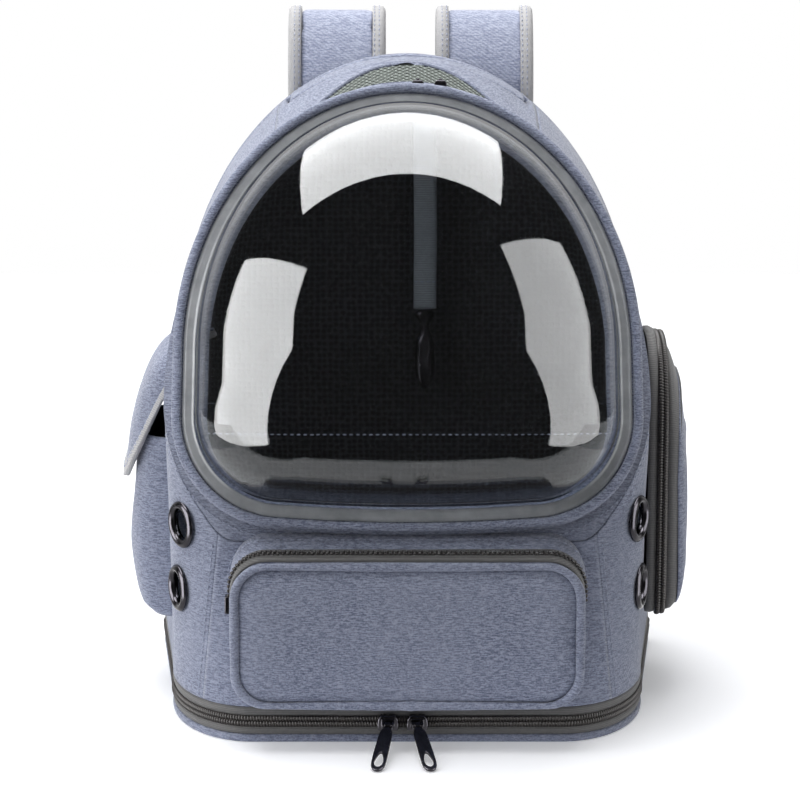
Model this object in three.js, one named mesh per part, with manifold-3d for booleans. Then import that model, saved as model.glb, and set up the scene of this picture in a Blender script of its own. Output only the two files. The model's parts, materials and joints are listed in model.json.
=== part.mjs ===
import * as THREE from 'three';
import Module from 'manifold-3d';

const wasm = await Module();
wasm.setup();

// A soft backpack with a clear dome in front. Millimetres. +X is to the viewer's right,
// -Y is the front, +Z is up, and the origin is the middle of the underside.

// Widths, depths and heights of the whole bag.
const GAP = 0.3;
const WALL = 3;
const ROLL = 7;
const HEIGHT = 420;
const BASE_HALF = 172;
const FRONT = 118;
const WALL_FOOT = 24;
const WALL_BACK = 104.4;
const BACK_PAD = 12.3;
const BACK_FACE = WALL_BACK + GAP + BACK_PAD;
const BASE_BACK = BACK_FACE - 1;

// Walls in plan: the front is flat for a width, an elliptic corner joins it to the side,
// and the side runs straight to the back. "up" is a share of the walls' height, "front" and
// "sideY" are shares of FRONT, and the widths are shares of BASE_HALF.
const WALLS = [
  { up: 0, flat: 0.5814, front: 1, side: 0.9128, sideY: 0.2542, back: 1 },
  { up: 0.31313, flat: 0.6512, front: 0.8898, side: 0.9186, sideY: 0.3814, back: 0.9593 },
  { up: 0.48232, flat: 0.8023, front: 0.8305, side: 0.9186, sideY: 0.5932, back: 0.9186 },
  { up: 1.01263, flat: 0.8023, front: 0.6441, side: 0.9186, sideY: 0.4237, back: 0.9186 },
].map(({ up, flat, front, side, sideY, back }) => ({
  z: WALL_FOOT + up * (HEIGHT - WALL_FOOT),
  flat: flat * BASE_HALF,
  front: -front * FRONT,
  side: side * BASE_HALF,
  sideY: -sideY * FRONT,
  back: back * BASE_HALF,
}));

// The arch over the top: it rises from a level, and is lower in front of the padded roll.
const ARCH = {
  level: WALLS[2].z, half: WALLS[2].side, rise: HEIGHT - WALLS[2].z, rollY: WALL_BACK - 38.4, slope: 0.16,
};

// The dome's rim lies in a leaning plane. "l" runs up the plane, "s" across, "n" out of it.
const RIM = {
  y: WALLS[1].front - 8, z: WALLS[1].z, lean: 24 * Math.PI / 180, half: 145, bow: 3, drop: 13.4,
};
const RIM_LENGTH = (HEIGHT - RIM.drop - RIM.z) / Math.cos(RIM.lean);
const RIM_CORNER = { flat: 0.545 * RIM.half, radius: 0.462 * RIM.half };
const RIM_ARCH = { level: 0.388 * RIM_LENGTH, rise: 0.612 * RIM_LENGTH };
const DOME = { bulge: 88, skin: 2, lip: 8, power: 2.5 };

// Layers under the dome, as distances along "n" and growth of the rim's outline.
const FRAME = { from: -12, to: -10, hole: -14 };
const ZIP_TAPE = { from: -9.7, to: -6.7, outer: 5.6, inner: -10 };
const ZIP_COIL = { from: -6.4, to: -3.6, outer: 6.2, inner: 0.5 };
const FLANGE = { from: -3.3, to: -0.3, outer: 6.4, inner: -12 };
const PIPING = { grow: 3.4, radius: 2.9 };
const HINGE_HALF = 84;

const radians = (degrees) => degrees * Math.PI / 180;
const mix = (a, b, t) => a + (b - a) * t;

const look = (color, roughness, metalness = 0, opacity = 1) => new THREE.MeshStandardMaterial({
  color, roughness, metalness, opacity, transparent: opacity < 1,
});
const CLOTH = look('#868ea6', 0.9);
const BINDING = look('#b9babd', 0.85);
const TAPE = look('#5a5a5c', 0.9);
const COIL = look('#262426', 0.45);
const MESH = look('#7d8480', 0.95);
const CLEAR = look('#c4ccd6', 0.08, 0, 0.35);
const METAL = look('#1b1a1c', 0.25, 0.8);
const WEBBING = look('#6d7076', 0.9);
const BUCKLE = look('#1d1d20', 0.5);

const bag = new THREE.Group();
bag.name = 'pet_carrier_backpack';

// Turns points and faces into a solid, faces outward.
function solid(points, faces) {
  let volume = 0;
  for (const [a, b, c] of faces) {
    const p = new THREE.Vector3(...points[a]);
    const q = new THREE.Vector3(...points[b]);
    volume += p.dot(q.cross(new THREE.Vector3(...points[c])));
  }
  const order = volume > 0 ? faces : faces.map(([a, b, c]) => [a, c, b]);
  return new wasm.Manifold(new wasm.Mesh({
    numProp: 3,
    vertProperties: new Float32Array(points.flat()),
    triVerts: new Uint32Array(order.flat()),
  }));
}

// Adds a solid to the bag as a named mesh.
function put(name, form, material) {
  const data = form.getMesh();
  const geometry = new THREE.BufferGeometry();
  geometry.setAttribute('position', new THREE.BufferAttribute(new Float32Array(data.vertProperties), 3));
  geometry.setIndex(Array.from(data.triVerts));
  geometry.computeVertexNormals();
  const mesh = new THREE.Mesh(geometry, material);
  mesh.name = name;
  bag.add(mesh);
}

// Triangles that close a ring; "forward" keeps the ring's own direction.
function cap(ring, first, forward) {
  const normal = new THREE.Vector3();
  ring.forEach((p, i) => {
    const q = ring[(i + 1) % ring.length];
    normal.x += (p[1] - q[1]) * (p[2] + q[2]);
    normal.y += (p[2] - q[2]) * (p[0] + q[0]);
    normal.z += (p[0] - q[0]) * (p[1] + q[1]);
  });
  normal.normalize();
  const across = new THREE.Vector3(1, 0, 0);
  if (Math.abs(normal.x) > 0.9) across.set(0, 1, 0);
  const up = new THREE.Vector3().crossVectors(normal, across).normalize();
  across.crossVectors(up, normal);
  const flat = ring.map((p) => {
    const v = new THREE.Vector3(...p);
    return new THREE.Vector2(v.dot(across), v.dot(up));
  });
  return THREE.ShapeUtils.triangulateShape(flat, []).map(([a, b, c]) => {
    const turn = (flat[b].x - flat[a].x) * (flat[c].y - flat[a].y)
      - (flat[b].y - flat[a].y) * (flat[c].x - flat[a].x);
    const kept = (turn > 0) === forward;
    return kept ? [first + a, first + b, first + c] : [first + a, first + c, first + b];
  });
}

// Side faces between rings of equal count.
function sides(rings, closed) {
  const count = rings[0].length;
  const faces = [];
  const last = closed ? rings.length : rings.length - 1;
  for (let r = 0; r < last; r += 1) {
    const next = (r + 1) % rings.length;
    for (let i = 0; i < count; i += 1) {
      const j = (i + 1) % count;
      faces.push([r * count + i, r * count + j, next * count + j]);
      faces.push([r * count + i, next * count + j, next * count + i]);
    }
  }
  return faces;
}

// A stack of rings closed at both ends.
function loft(rings) {
  const end = (rings.length - 1) * rings[0].length;
  return solid(rings.flat(), [
    ...sides(rings, false),
    ...cap(rings[0], 0, false),
    ...cap(rings[rings.length - 1], end, true),
  ]);
}

// Sections carried round a closed path.
const hoop = (sections) => solid(sections.flat(), sides(sections, true));

// A flat outline carried from one distance to another; "place" puts it in space.
const prism = (outline, from, to, place) => loft([
  outline.map(([a, b]) => place(a, b, from)),
  outline.map(([a, b]) => place(a, b, to)),
]);
const alongX = (a, b, d) => [d, a, b];
const alongY = (a, b, d) => [a, d, b];
const alongZ = (a, b, d) => [a, b, d];
const box = (x0, x1, y0, y1, z0, z1) => prism([[x0, y0], [x1, y0], [x1, y1], [x0, y1]], z0, z1, alongZ);
const circle = (radius, steps) => Array.from({ length: steps }, (_, i) => {
  const angle = 2 * Math.PI * i / steps;
  return [radius * Math.cos(angle), radius * Math.sin(angle)];
});

// A place in the leaning plane of the rim.
const sin = Math.sin(RIM.lean);
const cos = Math.cos(RIM.lean);
const onRim = (s, l, n) => [s, RIM.y + l * sin - n * cos, RIM.z + l * cos + n * sin];

// The rim's outline, grown outward by a distance.
function rimOutline(grow) {
  const half = [];
  for (let i = 1; i <= 3; i += 1) {
    const share = i / 3;
    half.push([RIM_CORNER.flat * share, 1 - RIM.bow * (1 - share * share) - grow]);
  }
  for (let i = 1; i <= 5; i += 1) {
    const angle = radians(18 * i);
    const reach = RIM_CORNER.radius + grow;
    half.push([RIM_CORNER.flat + reach * Math.sin(angle), 1 + RIM_CORNER.radius - reach * Math.cos(angle)]);
  }
  for (let i = 0; i < 10; i += 1) {
    const angle = radians(9 * i);
    half.push([
      (RIM.half + grow) * Math.cos(angle),
      RIM_ARCH.level + (RIM_ARCH.rise + grow) * Math.sin(angle),
    ]);
  }
  const left = half.slice().reverse().map(([s, l]) => [-s, l]);
  return [[0, 1 - RIM.bow - grow], ...half, [0, RIM_ARCH.level + RIM_ARCH.rise + grow], ...left];
}

// A flat band that follows the rim.
function rimBand({ from, to, outer, inner }) {
  const out = rimOutline(outer);
  const within = rimOutline(inner);
  return hoop(out.map(([s, l], i) => [
    onRim(s, l, from),
    onRim(within[i][0], within[i][1], from),
    onRim(within[i][0], within[i][1], to),
    onRim(s, l, to),
  ]));
}

// Everything behind a distance along "n".
const SLAB = [[-320, -320], [320, -320], [320, 520], [-320, 520]];
const behind = (n) => prism(SLAB, -520, n, onRim);

// One row of the walls' plan at a height.
function wallsAt(z) {
  const index = Math.max(1, WALLS.findIndex((row) => row.z >= z));
  const a = WALLS[index - 1];
  const b = WALLS[index];
  const t = Math.max(0, (z - a.z) / (b.z - a.z));
  return Object.fromEntries(Object.keys(a).map((key) => [key, mix(a[key], b[key], t)]));
}

// Half of the plan, from the front flat to the end of the corner.
function corner(z, inset) {
  const row = wallsAt(z);
  return Array.from({ length: 7 }, (_, i) => {
    const angle = radians(15 * i);
    return [
      row.flat + (row.side - inset - row.flat) * Math.sin(angle),
      row.sideY + (row.front + inset - row.sideY) * Math.cos(angle),
    ];
  });
}
const both = (half) => [...half, ...half.slice().reverse().map(([x, y]) => [-x, y])];

// The arch in the front view at a depth.
function archAt(y, inset) {
  const rise = ARCH.rise - ARCH.slope * Math.max(0, ARCH.rollY - y) - inset;
  const half = [[1.5 * BASE_HALF, -60], [1.5 * BASE_HALF, ARCH.level]];
  for (let i = 0; i <= 11; i += 1) {
    const angle = radians(90 * i / 11.5);
    half.push([(ARCH.half - inset) * Math.cos(angle), ARCH.level + rise * Math.sin(angle)]);
  }
  return both(half).map(([x, z]) => [x, y, z]);
}

// The bag's form, set in by a distance, from a foot up and back to an end.
function form(inset, foot, end) {
  const rings = [foot, ...WALLS.map((row) => row.z).filter((z) => z > foot)].map((z) => {
    const { side, sideY, back } = wallsAt(z);
    const reach = mix(side, back, (end - sideY) / (WALL_BACK - sideY));
    const beyond = end > WALL_BACK ? [[reach - inset, end]] : [];
    return both([...corner(z, inset), [back - inset, WALL_BACK], ...beyond]).map(([x, y]) => [x, y, z]);
  });
  return loft(rings).intersect(loft([-150, ARCH.rollY, 150].map((y) => archAt(y, inset))));
}

const outside = form(0, WALL_FOOT + GAP, WALL_BACK);
const clearOfWalls = form(-GAP, 10, WALL_BACK + 30);
const shell = outside.subtract(form(WALL, 10, WALL_BACK + 30)).intersect(behind(FRAME.from - GAP));

// Where the front panel and the top band are cut from the walls.
const SEAM = { foot: 135, top: 120, roll: 82 };
const frontCut = (grow) => prism([
  [-SEAM.foot - grow, 10], [SEAM.foot + grow, 10],
  [SEAM.top + grow, RIM.z + 4], [-SEAM.top - grow, RIM.z + 4],
], -2 * FRONT, -0.42 * FRONT, alongY);
const topCut = (grow) => box(
  -SEAM.roll - grow, SEAM.roll + grow, -FRONT, 2 * FRONT, HEIGHT - 50, HEIGHT + 20,
);

// The vent is a crescent in front of the padded roll.
const VENT = { half: 60, deep: 50, pitchX: 9, pitchY: 7.6, hole: 2.7 };
const ventEdge = (x) => ARCH.rollY - VENT.deep * (x / VENT.half) ** 2;
const ventCut = (grow) => prism([
  [-VENT.half - grow, -40],
  [VENT.half + grow, -40],
  ...Array.from({ length: 13 }, (_, i) => {
    const x = VENT.half * (1 - i / 6);
    return [x * (1 + grow / VENT.half), ventEdge(x) + grow];
  }),
], HEIGHT - 60, HEIGHT + 20, alongZ);

// Base: a flat panel with a zip round it, between two tapes.
function basePlan(grow) {
  const half = corner(WALL_FOOT, -grow);
  const end = BASE_HALF + grow;
  for (let i = 0; i <= 3; i += 1) {
    const angle = radians(30 * i);
    half.push([end - 14 + 14 * Math.cos(angle), BASE_BACK + grow - 14 + 14 * Math.sin(angle)]);
  }
  return both(half);
}
const baseRing = (grow, z) => basePlan(grow).map(([x, y]) => [x, y, z]);
function baseBand(outer, inner, z0, z1) {
  const out = basePlan(outer);
  const within = basePlan(inner);
  return hoop(out.map(([x, y], i) => [
    [x, y, z0], [within[i][0], within[i][1], z0], [within[i][0], within[i][1], z1], [x, y, z1],
  ]));
}
const BASE = { panel: 5.4, coil: 6.9 };
const COIL_FOOT = (BASE.panel + WALL_FOOT - BASE.coil) / 2 - 0.15;
put('base_panel', loft([baseRing(-1.5, 0), baseRing(0, 1.5), baseRing(0, BASE.panel)]), CLOTH);
put('base_lower_tape', baseBand(-0.6, -3.6, BASE.panel + GAP, COIL_FOOT - GAP), TAPE);
put('base_zip_coil', baseBand(0.8, -2.6, COIL_FOOT, COIL_FOOT + BASE.coil), COIL);
put('base_upper_tape', baseBand(-0.6, -3.6, COIL_FOOT + BASE.coil + GAP, WALL_FOOT), TAPE);

// Walls: a front panel, two gussets that run up into the arch, and the padded top.
// An eyelet's "share" says how far out it sits across the rounded corner.
const eyelets = [
  { name: 'eyelet_left_upper', sign: -1, share: 0.768, z: RIM.z - 11 },
  { name: 'eyelet_left_lower', sign: -1, share: 0.853, z: RIM.z - 56 },
  { name: 'eyelet_right_upper', sign: 1, share: 0.853, z: RIM.z - 9 },
  { name: 'eyelet_right_lower', sign: 1, share: 0.931, z: RIM.z - 58 },
];
const EYELET = { outer: 15.4, inner: 10.6, proud: 2.2, deep: 3, hole: 11.2 };

// A frame on the corner of the wall: across, up and out of it.
function onCorner(sign, share, z) {
  const row = wallsAt(z);
  const x = sign * mix(row.flat, row.side, share);
  const depth = row.front - row.sideY;
  const y = row.sideY + depth * Math.sqrt(1 - share * share);
  const out = new THREE.Vector3(share / (row.side - row.flat), (y - row.sideY) / (depth * depth), 0);
  out.normalize();
  out.x *= sign;
  return (a, b, d) => [x + out.x * d - out.y * a, y + out.y * d + out.x * a, z + b];
}
let sideWalls = shell.subtract(frontCut(GAP)).subtract(topCut(GAP));
for (const { name, sign, share, z } of eyelets) {
  const place = onCorner(sign, share, z);
  sideWalls = sideWalls.subtract(prism(circle(EYELET.hole, 12), -12, 12, place));
  const ring = hoop(circle(1, 12).map(([a, b]) => [
    place(a * EYELET.outer, b * EYELET.outer, -EYELET.deep),
    place(a * EYELET.inner, b * EYELET.inner, -EYELET.deep),
    place(a * EYELET.inner, b * EYELET.inner, EYELET.proud),
    place(a * EYELET.outer, b * EYELET.outer, EYELET.proud * 0.5),
  ]));
  put(name, ring.subtract(clearOfWalls), METAL);
}
put('gusset_left', sideWalls.intersect(box(-2 * BASE_HALF, 0, -2 * FRONT, 2 * FRONT, 0, 2 * HEIGHT)), CLOTH);
put('gusset_right', sideWalls.intersect(box(0, 2 * BASE_HALF, -2 * FRONT, 2 * FRONT, 0, 2 * HEIGHT)), CLOTH);
put('front_panel', shell.intersect(frontCut(0)), CLOTH);

const roll = outside.subtract(form(ROLL, 10, WALL_BACK + 30)).intersect(behind(FRAME.from - GAP));
put('top_roll', roll.intersect(topCut(0)).subtract(ventCut(GAP)), CLOTH);

let vent = form(0.8, 30, WALL_BACK).subtract(form(0.8 + WALL, 10, WALL_BACK + 30));
vent = vent.intersect(behind(FRAME.from - GAP)).intersect(topCut(0)).intersect(ventCut(0));
for (let row = 0; row < 6; row += 1) {
  const y = ARCH.rollY - 3.9 - VENT.pitchY * (5 - row);
  for (let step = -8; step <= 8; step += 1) {
    const x = VENT.pitchX * (step + (row % 2) / 2);
    if (y + VENT.hole + 1.2 > ventEdge(Math.abs(x) + VENT.hole + 1.2)) continue;
    const hole = circle(VENT.hole, 6).map(([a, b]) => [x + a, y + b]);
    vent = vent.subtract(prism(hole, HEIGHT - 60, HEIGHT + 20, alongZ));
  }
}
put('top_mesh', vent, MESH);

// The padded back closes the walls from behind.
function backAt(y, inset) {
  const half = WALLS.slice(0, 3).map((row, i) => [row.back - inset, row.z + (i === 0 ? GAP + inset : 0)]);
  for (let i = 1; i <= 11; i += 1) {
    const angle = radians(90 * i / 11.5);
    half.push([(ARCH.half - inset) * Math.cos(angle), ARCH.level + (ARCH.rise - inset) * Math.sin(angle)]);
  }
  return both(half).map(([x, z]) => [x, y, z]);
}
put('back_panel', loft([
  backAt(WALL_BACK + GAP, 0), backAt(BACK_FACE - 5, 0), backAt(BACK_FACE - 1.5, 2), backAt(BACK_FACE, 6),
]), CLOTH);

// Round the dome: a frame of cloth, the zip, the flange and its piping.
const mouth = prism(rimOutline(FRAME.hole), -60, 60, onRim);
put('front_frame', outside.intersect(behind(FRAME.to)).subtract(behind(FRAME.from)).subtract(mouth), CLOTH);
const hingeCut = (grow) => prism([
  [-HINGE_HALF - grow, -30], [HINGE_HALF + grow, -30], [HINGE_HALF + grow, 30], [-HINGE_HALF - grow, 30],
], -30, 30, onRim);
const hinge = { ...ZIP_TAPE, to: ZIP_COIL.to, outer: 6.2 };
put('hinge_band', rimBand(hinge).intersect(hingeCut(0)), CLOTH);
put('dome_zip_tape', rimBand(ZIP_TAPE).subtract(hingeCut(GAP)), TAPE);
put('dome_zip_coil', rimBand(ZIP_COIL).subtract(hingeCut(GAP)), COIL);
put('dome_flange', rimBand(FLANGE), CLOTH);
const cord = rimOutline(PIPING.grow);
const cordOut = rimOutline(PIPING.grow + 1);
put('dome_piping', hoop(cord.map(([s, l], i) => {
  const out = new THREE.Vector2(cordOut[i][0] - s, cordOut[i][1] - l).normalize();
  return circle(PIPING.radius, 6).map(([a, b]) => onRim(s + out.x * a, l + out.y * a, b + PIPING.radius));
})), CLOTH);

// The clear dome: a flat lip, then a skin that rises steeply and rounds over.
const DOME_STEPS = [1, 0.985, 0.945, 0.87, 0.76, 0.61, 0.42, 0.18];
function domeRings(inset) {
  const edge = rimOutline(-DOME.lip - inset);
  return DOME_STEPS.map((share, i) => {
    const height = (DOME.bulge - inset) * (1 - share ** DOME.power) ** 0.5;
    const lift = i === 0 ? (inset ? -5 : 2) : height;
    return edge.map(([s, l]) => onRim(s * share, mix(0.434 * RIM_LENGTH, l, share), lift));
  });
}
const lip = prism(rimOutline(0), 0, DOME.skin, onRim);
const domeOut = loft([rimOutline(-DOME.lip).map(([s, l]) => onRim(s, l, 0)), ...domeRings(0)]);
put('dome', lip.add(domeOut).subtract(loft(domeRings(DOME.skin))), CLEAR);

// Zip sliders. The two round the dome are parked side by side at the top.
const slider = (x) => {
  const top = RIM_ARCH.level + RIM_ARCH.rise + ZIP_COIL.outer;
  return prism([
    [x - 4, top + GAP], [x + 4, top + GAP], [x + 3, top + 4], [x - 3, top + 4],
  ], -9.5, -2, onRim);
};
put('dome_slider_left', slider(7), METAL);
put('dome_slider_right', slider(22), METAL);

// The two round the base meet in the middle, each with a pull hinged on a bar.
const BASE_FRONT = wallsAt(WALL_FOOT).front - 0.8;
const HINGE = {
  y: BASE_FRONT - 8.6, z: COIL_FOOT + BASE.coil / 2, bar: 1, eye: 1.4, rim: 2.4, half: 2, cheek: 1.3,
};
const PULL = { length: 52, wide: 4.8, neck: 2.2, thick: 1.8, pitch: 14.7 };
const sliders = [
  { side: 'left', x: -12.5, yaw: -8 },
  { side: 'right', x: 6.5, yaw: 10 },
];
for (const { side, x, yaw } of sliders) {
  // "a" runs forward, "b" to the side and "c" up, from the hinge.
  const turn = radians(yaw);
  const local = (pitch) => (a, c, b) => {
    const ahead = a * Math.cos(pitch) + c * Math.sin(pitch);
    const lift = c * Math.cos(pitch) - a * Math.sin(pitch);
    return [
      x + ahead * Math.sin(turn) + b * Math.cos(turn),
      HINGE.y - ahead * Math.cos(turn) + b * Math.sin(turn),
      HINGE.z + lift,
    ];
  };
  const level = local(0);
  const reach = HINGE.half + 0.4;
  const body = prism([
    [-6.5, -5], [6.5, -5], [6.5, 3], [4.5, 5.5], [-4.5, 5.5], [-6.5, 3],
  ].map(([a, b]) => [x + a, HINGE.z + b]), BASE_FRONT - GAP, BASE_FRONT - 5.2, alongY);
  const cheek = [[1.6, -1.6], [1.6, 1.6], [-5, 3], [-5, -3]];
  const whole = body
    .add(prism(cheek, reach, reach + HINGE.cheek, level))
    .add(prism(cheek, -reach - HINGE.cheek, -reach, level))
    .add(prism(circle(HINGE.bar, 10), -reach - 0.5, reach + 0.5, level));
  put(`base_slider_${side}`, whole, METAL);

  const tilted = local(radians(PULL.pitch));
  const flat = (a, b, c) => tilted(a, c, b);
  const blade = [
    [1.9, 0.9], [5, 0.9], [8, 0.72], [22, 1], [40, 1], [47, 0.92], [50.5, 0.66], [52, 0.28],
  ].map(([a, share]) => [a, share * (a < 6 ? PULL.neck : PULL.wide)]);
  const hole = [[24, 0.3], [30, 0.42], [42, 0.56], [46, 0.45], [48, 0.18]]
    .map(([a, share]) => [a, share * PULL.wide]);
  const closed = (half) => [...half, ...half.slice().reverse().map(([a, b]) => [a, -b])];
  const pull = prism(circle(HINGE.rim, 12), -HINGE.half, HINGE.half, tilted)
    .add(prism(closed(blade), -PULL.thick / 2, PULL.thick / 2, flat))
    .subtract(prism(circle(HINGE.eye, 12), -9, 9, tilted))
    .subtract(prism(closed(hole), -9, 9, flat));
  put(`base_pull_${side}`, pull, METAL);
}

// Front pocket: a box of cloth on the front panel, piped round its face, zipped on top.
const POCKET = {
  half: 113, foot: WALL_FOOT + 6, top: RIM.z - 21, rise: 11, radius: 23,
  face: -FRONT - 27, root: -FRONT + 14,
};
function pocketOutline(y, grow) {
  const top = POCKET.top + POCKET.rise * Math.max(0, (y - POCKET.face) / (POCKET.root - POCKET.face)) + grow;
  const half = [];
  const radius = POCKET.radius + grow;
  for (let i = 0; i <= 4; i += 1) {
    const angle = radians(22.5 * i);
    half.push([POCKET.half - POCKET.radius + radius * Math.sin(angle),
      POCKET.foot + POCKET.radius - radius * Math.cos(angle)]);
  }
  for (let i = 0; i <= 4; i += 1) {
    const angle = radians(22.5 * i);
    half.push([POCKET.half - POCKET.radius + radius * Math.cos(angle),
      top - radius + radius * Math.sin(angle)]);
  }
  return both(half).map(([x, z]) => [x, y, z]);
}
const fromFace = (deep, grow) => pocketOutline(POCKET.face + deep, grow);
const pocketOut = loft([
  fromFace(45, -0.5), fromFace(6, -0.5), fromFace(5.6, -6), fromFace(1, -6), fromFace(0, -8),
]);
const pocketIn = loft([fromFace(50, -3), fromFace(9, -3), fromFace(8.5, -8.5), fromFace(2.5, -8.5)]);
put('front_pocket', pocketOut.subtract(pocketIn).subtract(clearOfWalls), CLOTH);
const pocketCord = fromFace(2.8, -2.8);
const pocketCordOut = fromFace(2.8, -1.8);
put('front_pocket_piping', hoop(pocketCord.map(([x, y, z], i) => {
  const out = new THREE.Vector2(pocketCordOut[i][0] - x, pocketCordOut[i][2] - z).normalize();
  return circle(2.7, 6).map(([a, b]) => [x + out.x * a, y + b, z + out.y * a]);
})), CLOTH);
function pocketBand(near, far, inner, outer) {
  const rings = [[near, inner], [near, outer], [far, outer], [far, inner]]
    .map(([deep, grow]) => fromFace(deep, grow));
  const upper = box(-2 * BASE_HALF, 2 * BASE_HALF, -2 * FRONT, 0, POCKET.top - POCKET.radius, HEIGHT);
  return hoop(rings[0].map((_, i) => rings.map((ring) => ring[i]))).intersect(upper);
}
put('front_pocket_zip_tape', pocketBand(6.4, 23, -0.2, 0.8), TAPE);
put('front_pocket_zip_coil', pocketBand(10, 17, 1.1, 2.6), COIL);
put('front_pocket_slider', box(
  -POCKET.half - 3.6, -POCKET.half, POCKET.face + 8.5, POCKET.face + 18,
  POCKET.top - 35, POCKET.top - POCKET.radius - 0.6,
), METAL);

// Side pockets are lofted from rows: height, how far out, and half of the depth.
function sideRing(sign, z, out, half, inset) {
  const root = ARCH.half - 18;
  return Array.from({ length: 13 }, (_, i) => {
    const angle = radians(15 * i);
    const across = Math.sign(Math.cos(angle)) * Math.abs(Math.cos(angle)) ** 0.55;
    const away = Math.sin(angle) ** 0.55;
    return [sign * (root + (out - inset - root) * away), 20 + (half - inset) * across, z];
  });
}
const sideLoft = (rows, inset) => loft(rows.map(({ z, out, half }) => sideRing(-1, z, out, half, inset)));
const LEFT_SIZE = { foot: 57, tall: 125, bulge: 28.5, half: 52, cloth: 2.2 };
const sized = (rows, size) => rows.map(({ up, out, half }) => ({
  z: size.foot + up * size.tall, out: ARCH.half + out * size.bulge, half: half * size.half,
}));
const LEFT = sized([
  { up: 0, out: 0.526, half: 0.885 }, { up: 0.056, out: 0.772, half: 0.942 },
  { up: 0.232, out: 0.947, half: 0.98 },
  { up: 0.44, out: 1, half: 1 }, { up: 0.776, out: 0.877, half: 1 }, { up: 1, out: 0.737, half: 1 },
], LEFT_SIZE);
const leftInside = LEFT.map((row, i) => ({ ...row, z: row.z + (i === 0 ? 2.5 : 0) + (i === 5 ? 20 : 0) }));
const leftPouch = sideLoft(LEFT, 0).subtract(sideLoft(leftInside, LEFT_SIZE.cloth));
put('left_pocket', leftPouch.subtract(clearOfWalls), CLOTH);

// Its flap is a hood sewn to the wall above, cut off along a slope, with a bound edge.
const FLAP_SIZE = {
  foot: 120, tall: LEFT_SIZE.foot + LEFT_SIZE.tall - 55,
  bulge: LEFT_SIZE.bulge + 6.5, half: LEFT_SIZE.half + 4,
};
const FLAP = sized([
  { up: 1, out: -0.029, half: 0.714 }, { up: 0.937, out: 0.2, half: 0.893 },
  { up: 0.835, out: 0.414, half: 0.964 },
  { up: 0.701, out: 0.614, half: 0.991 }, { up: 0.551, out: 0.771, half: 1 },
  { up: 0.41, out: 0.857, half: 1 },
  { up: 0.213, out: 0.957, half: 1 }, { up: 0, out: 1, half: 1 },
], FLAP_SIZE);
const flapSkin = (inset, thick) => sideLoft(FLAP, inset).subtract(sideLoft(FLAP.map(
  ({ z, out, half }, i) => ({ z: z + (i === 0 ? -2 : 0) + (i === 7 ? -20 : 0), out, half }),
), inset + thick)).subtract(clearOfWalls);
const SLOPE = {
  wall: ARCH.half - 0.514 * FLAP_SIZE.bulge, out: ARCH.half + 1.486 * FLAP_SIZE.bulge,
  high: FLAP_SIZE.foot + 0.858 * FLAP_SIZE.tall, low: FLAP_SIZE.foot + 0.008 * FLAP_SIZE.tall,
};
const slopeCut = (low, high) => prism([
  [-SLOPE.wall, SLOPE.high + low], [-SLOPE.out, SLOPE.low + low],
  [-SLOPE.out, SLOPE.low + high], [-SLOPE.wall, SLOPE.high + high],
], -FRONT, 2 * FRONT, alongY);
put('left_flap', flapSkin(0, 2.2).intersect(slopeCut(0, HEIGHT)), CLOTH);
put('left_flap_binding', flapSkin(-0.5, 3).intersect(slopeCut(-9, -0.4)), BINDING);

// Right pocket: an arch-shaped pouch; its layers stand on the wall one outside the other.
// In the rows "out" is a share of the bulge, "top" and "foot" of the height.
const RIGHT_SIZE = { foot: 58, tall: 188, bulge: 29, half: 50, arch: 52, cloth: 2.4 };
const RIGHT = [
  { out: -0.276, top: 1, foot: 0, half: 1 }, { out: 0.276, top: 0.989, foot: 0, half: 1 },
  { out: 0.517, top: 0.952, foot: 0.005, half: 1 }, { out: 0.759, top: 0.872, foot: 0.027, half: 0.97 },
  { out: 0.897, top: 0.782, foot: 0.064, half: 0.92 }, { out: 1, top: 0.67, foot: 0.138, half: 0.8 },
].map(({ out, top, foot, half }) => ({
  x: ARCH.half + out * RIGHT_SIZE.bulge,
  top: RIGHT_SIZE.foot + top * RIGHT_SIZE.tall,
  foot: RIGHT_SIZE.foot + foot * RIGHT_SIZE.tall,
  half: half * RIGHT_SIZE.half,
}));
const rightAt = (share) => ARCH.half + share * RIGHT_SIZE.bulge;
function rightRow(x) {
  const index = Math.min(RIGHT.length - 1, Math.max(1, RIGHT.findIndex((row) => row.x >= x)));
  const a = RIGHT[index - 1];
  const b = RIGHT[index];
  const t = (x - a.x) / (b.x - a.x);
  return Object.fromEntries(Object.keys(a).map((key) => [key, mix(a[key], b[key], t)]));
}
function rightOutline(x, grow) {
  const { top, foot, half } = rightRow(x);
  const points = [
    [half + grow - 14, foot - grow], [half + grow - 4, foot - grow + 4], [half + grow, foot - grow + 14],
  ];
  for (let i = 0; i <= 6; i += 1) {
    const angle = radians(90 * i / 6.5);
    points.push([
      (half + grow) * Math.cos(angle) ** 0.8,
      top - RIGHT_SIZE.arch + (RIGHT_SIZE.arch + grow) * Math.sin(angle) ** 0.8,
    ]);
  }
  return both(points).map(([y, z]) => [x, 22 + y, z]);
}
function rightBand(x0, x1, outer, thick) {
  const at = [x0, ...RIGHT.map((row) => row.x).filter((x) => x > x0 + 1 && x < x1 - 1), x1];
  const out = at.map((x) => rightOutline(x, outer));
  const within = at.map((x) => rightOutline(x, outer - thick)).reverse();
  return hoop(out[0].map((_, i) => [...out.map((ring) => ring[i]), ...within.map((ring) => ring[i])]));
}
const LAYER = { tape: rightAt(0.276), coil: rightAt(0.534), outer: rightAt(0.776), face: rightAt(1) };
const { cloth } = RIGHT_SIZE;
put('right_pocket_inner_tape', rightBand(RIGHT[0].x, LAYER.tape, 0, cloth).subtract(clearOfWalls), BINDING);
put('right_pocket_coil', rightBand(LAYER.tape + GAP, LAYER.coil, 0.8, cloth + 0.6), COIL);
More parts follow.
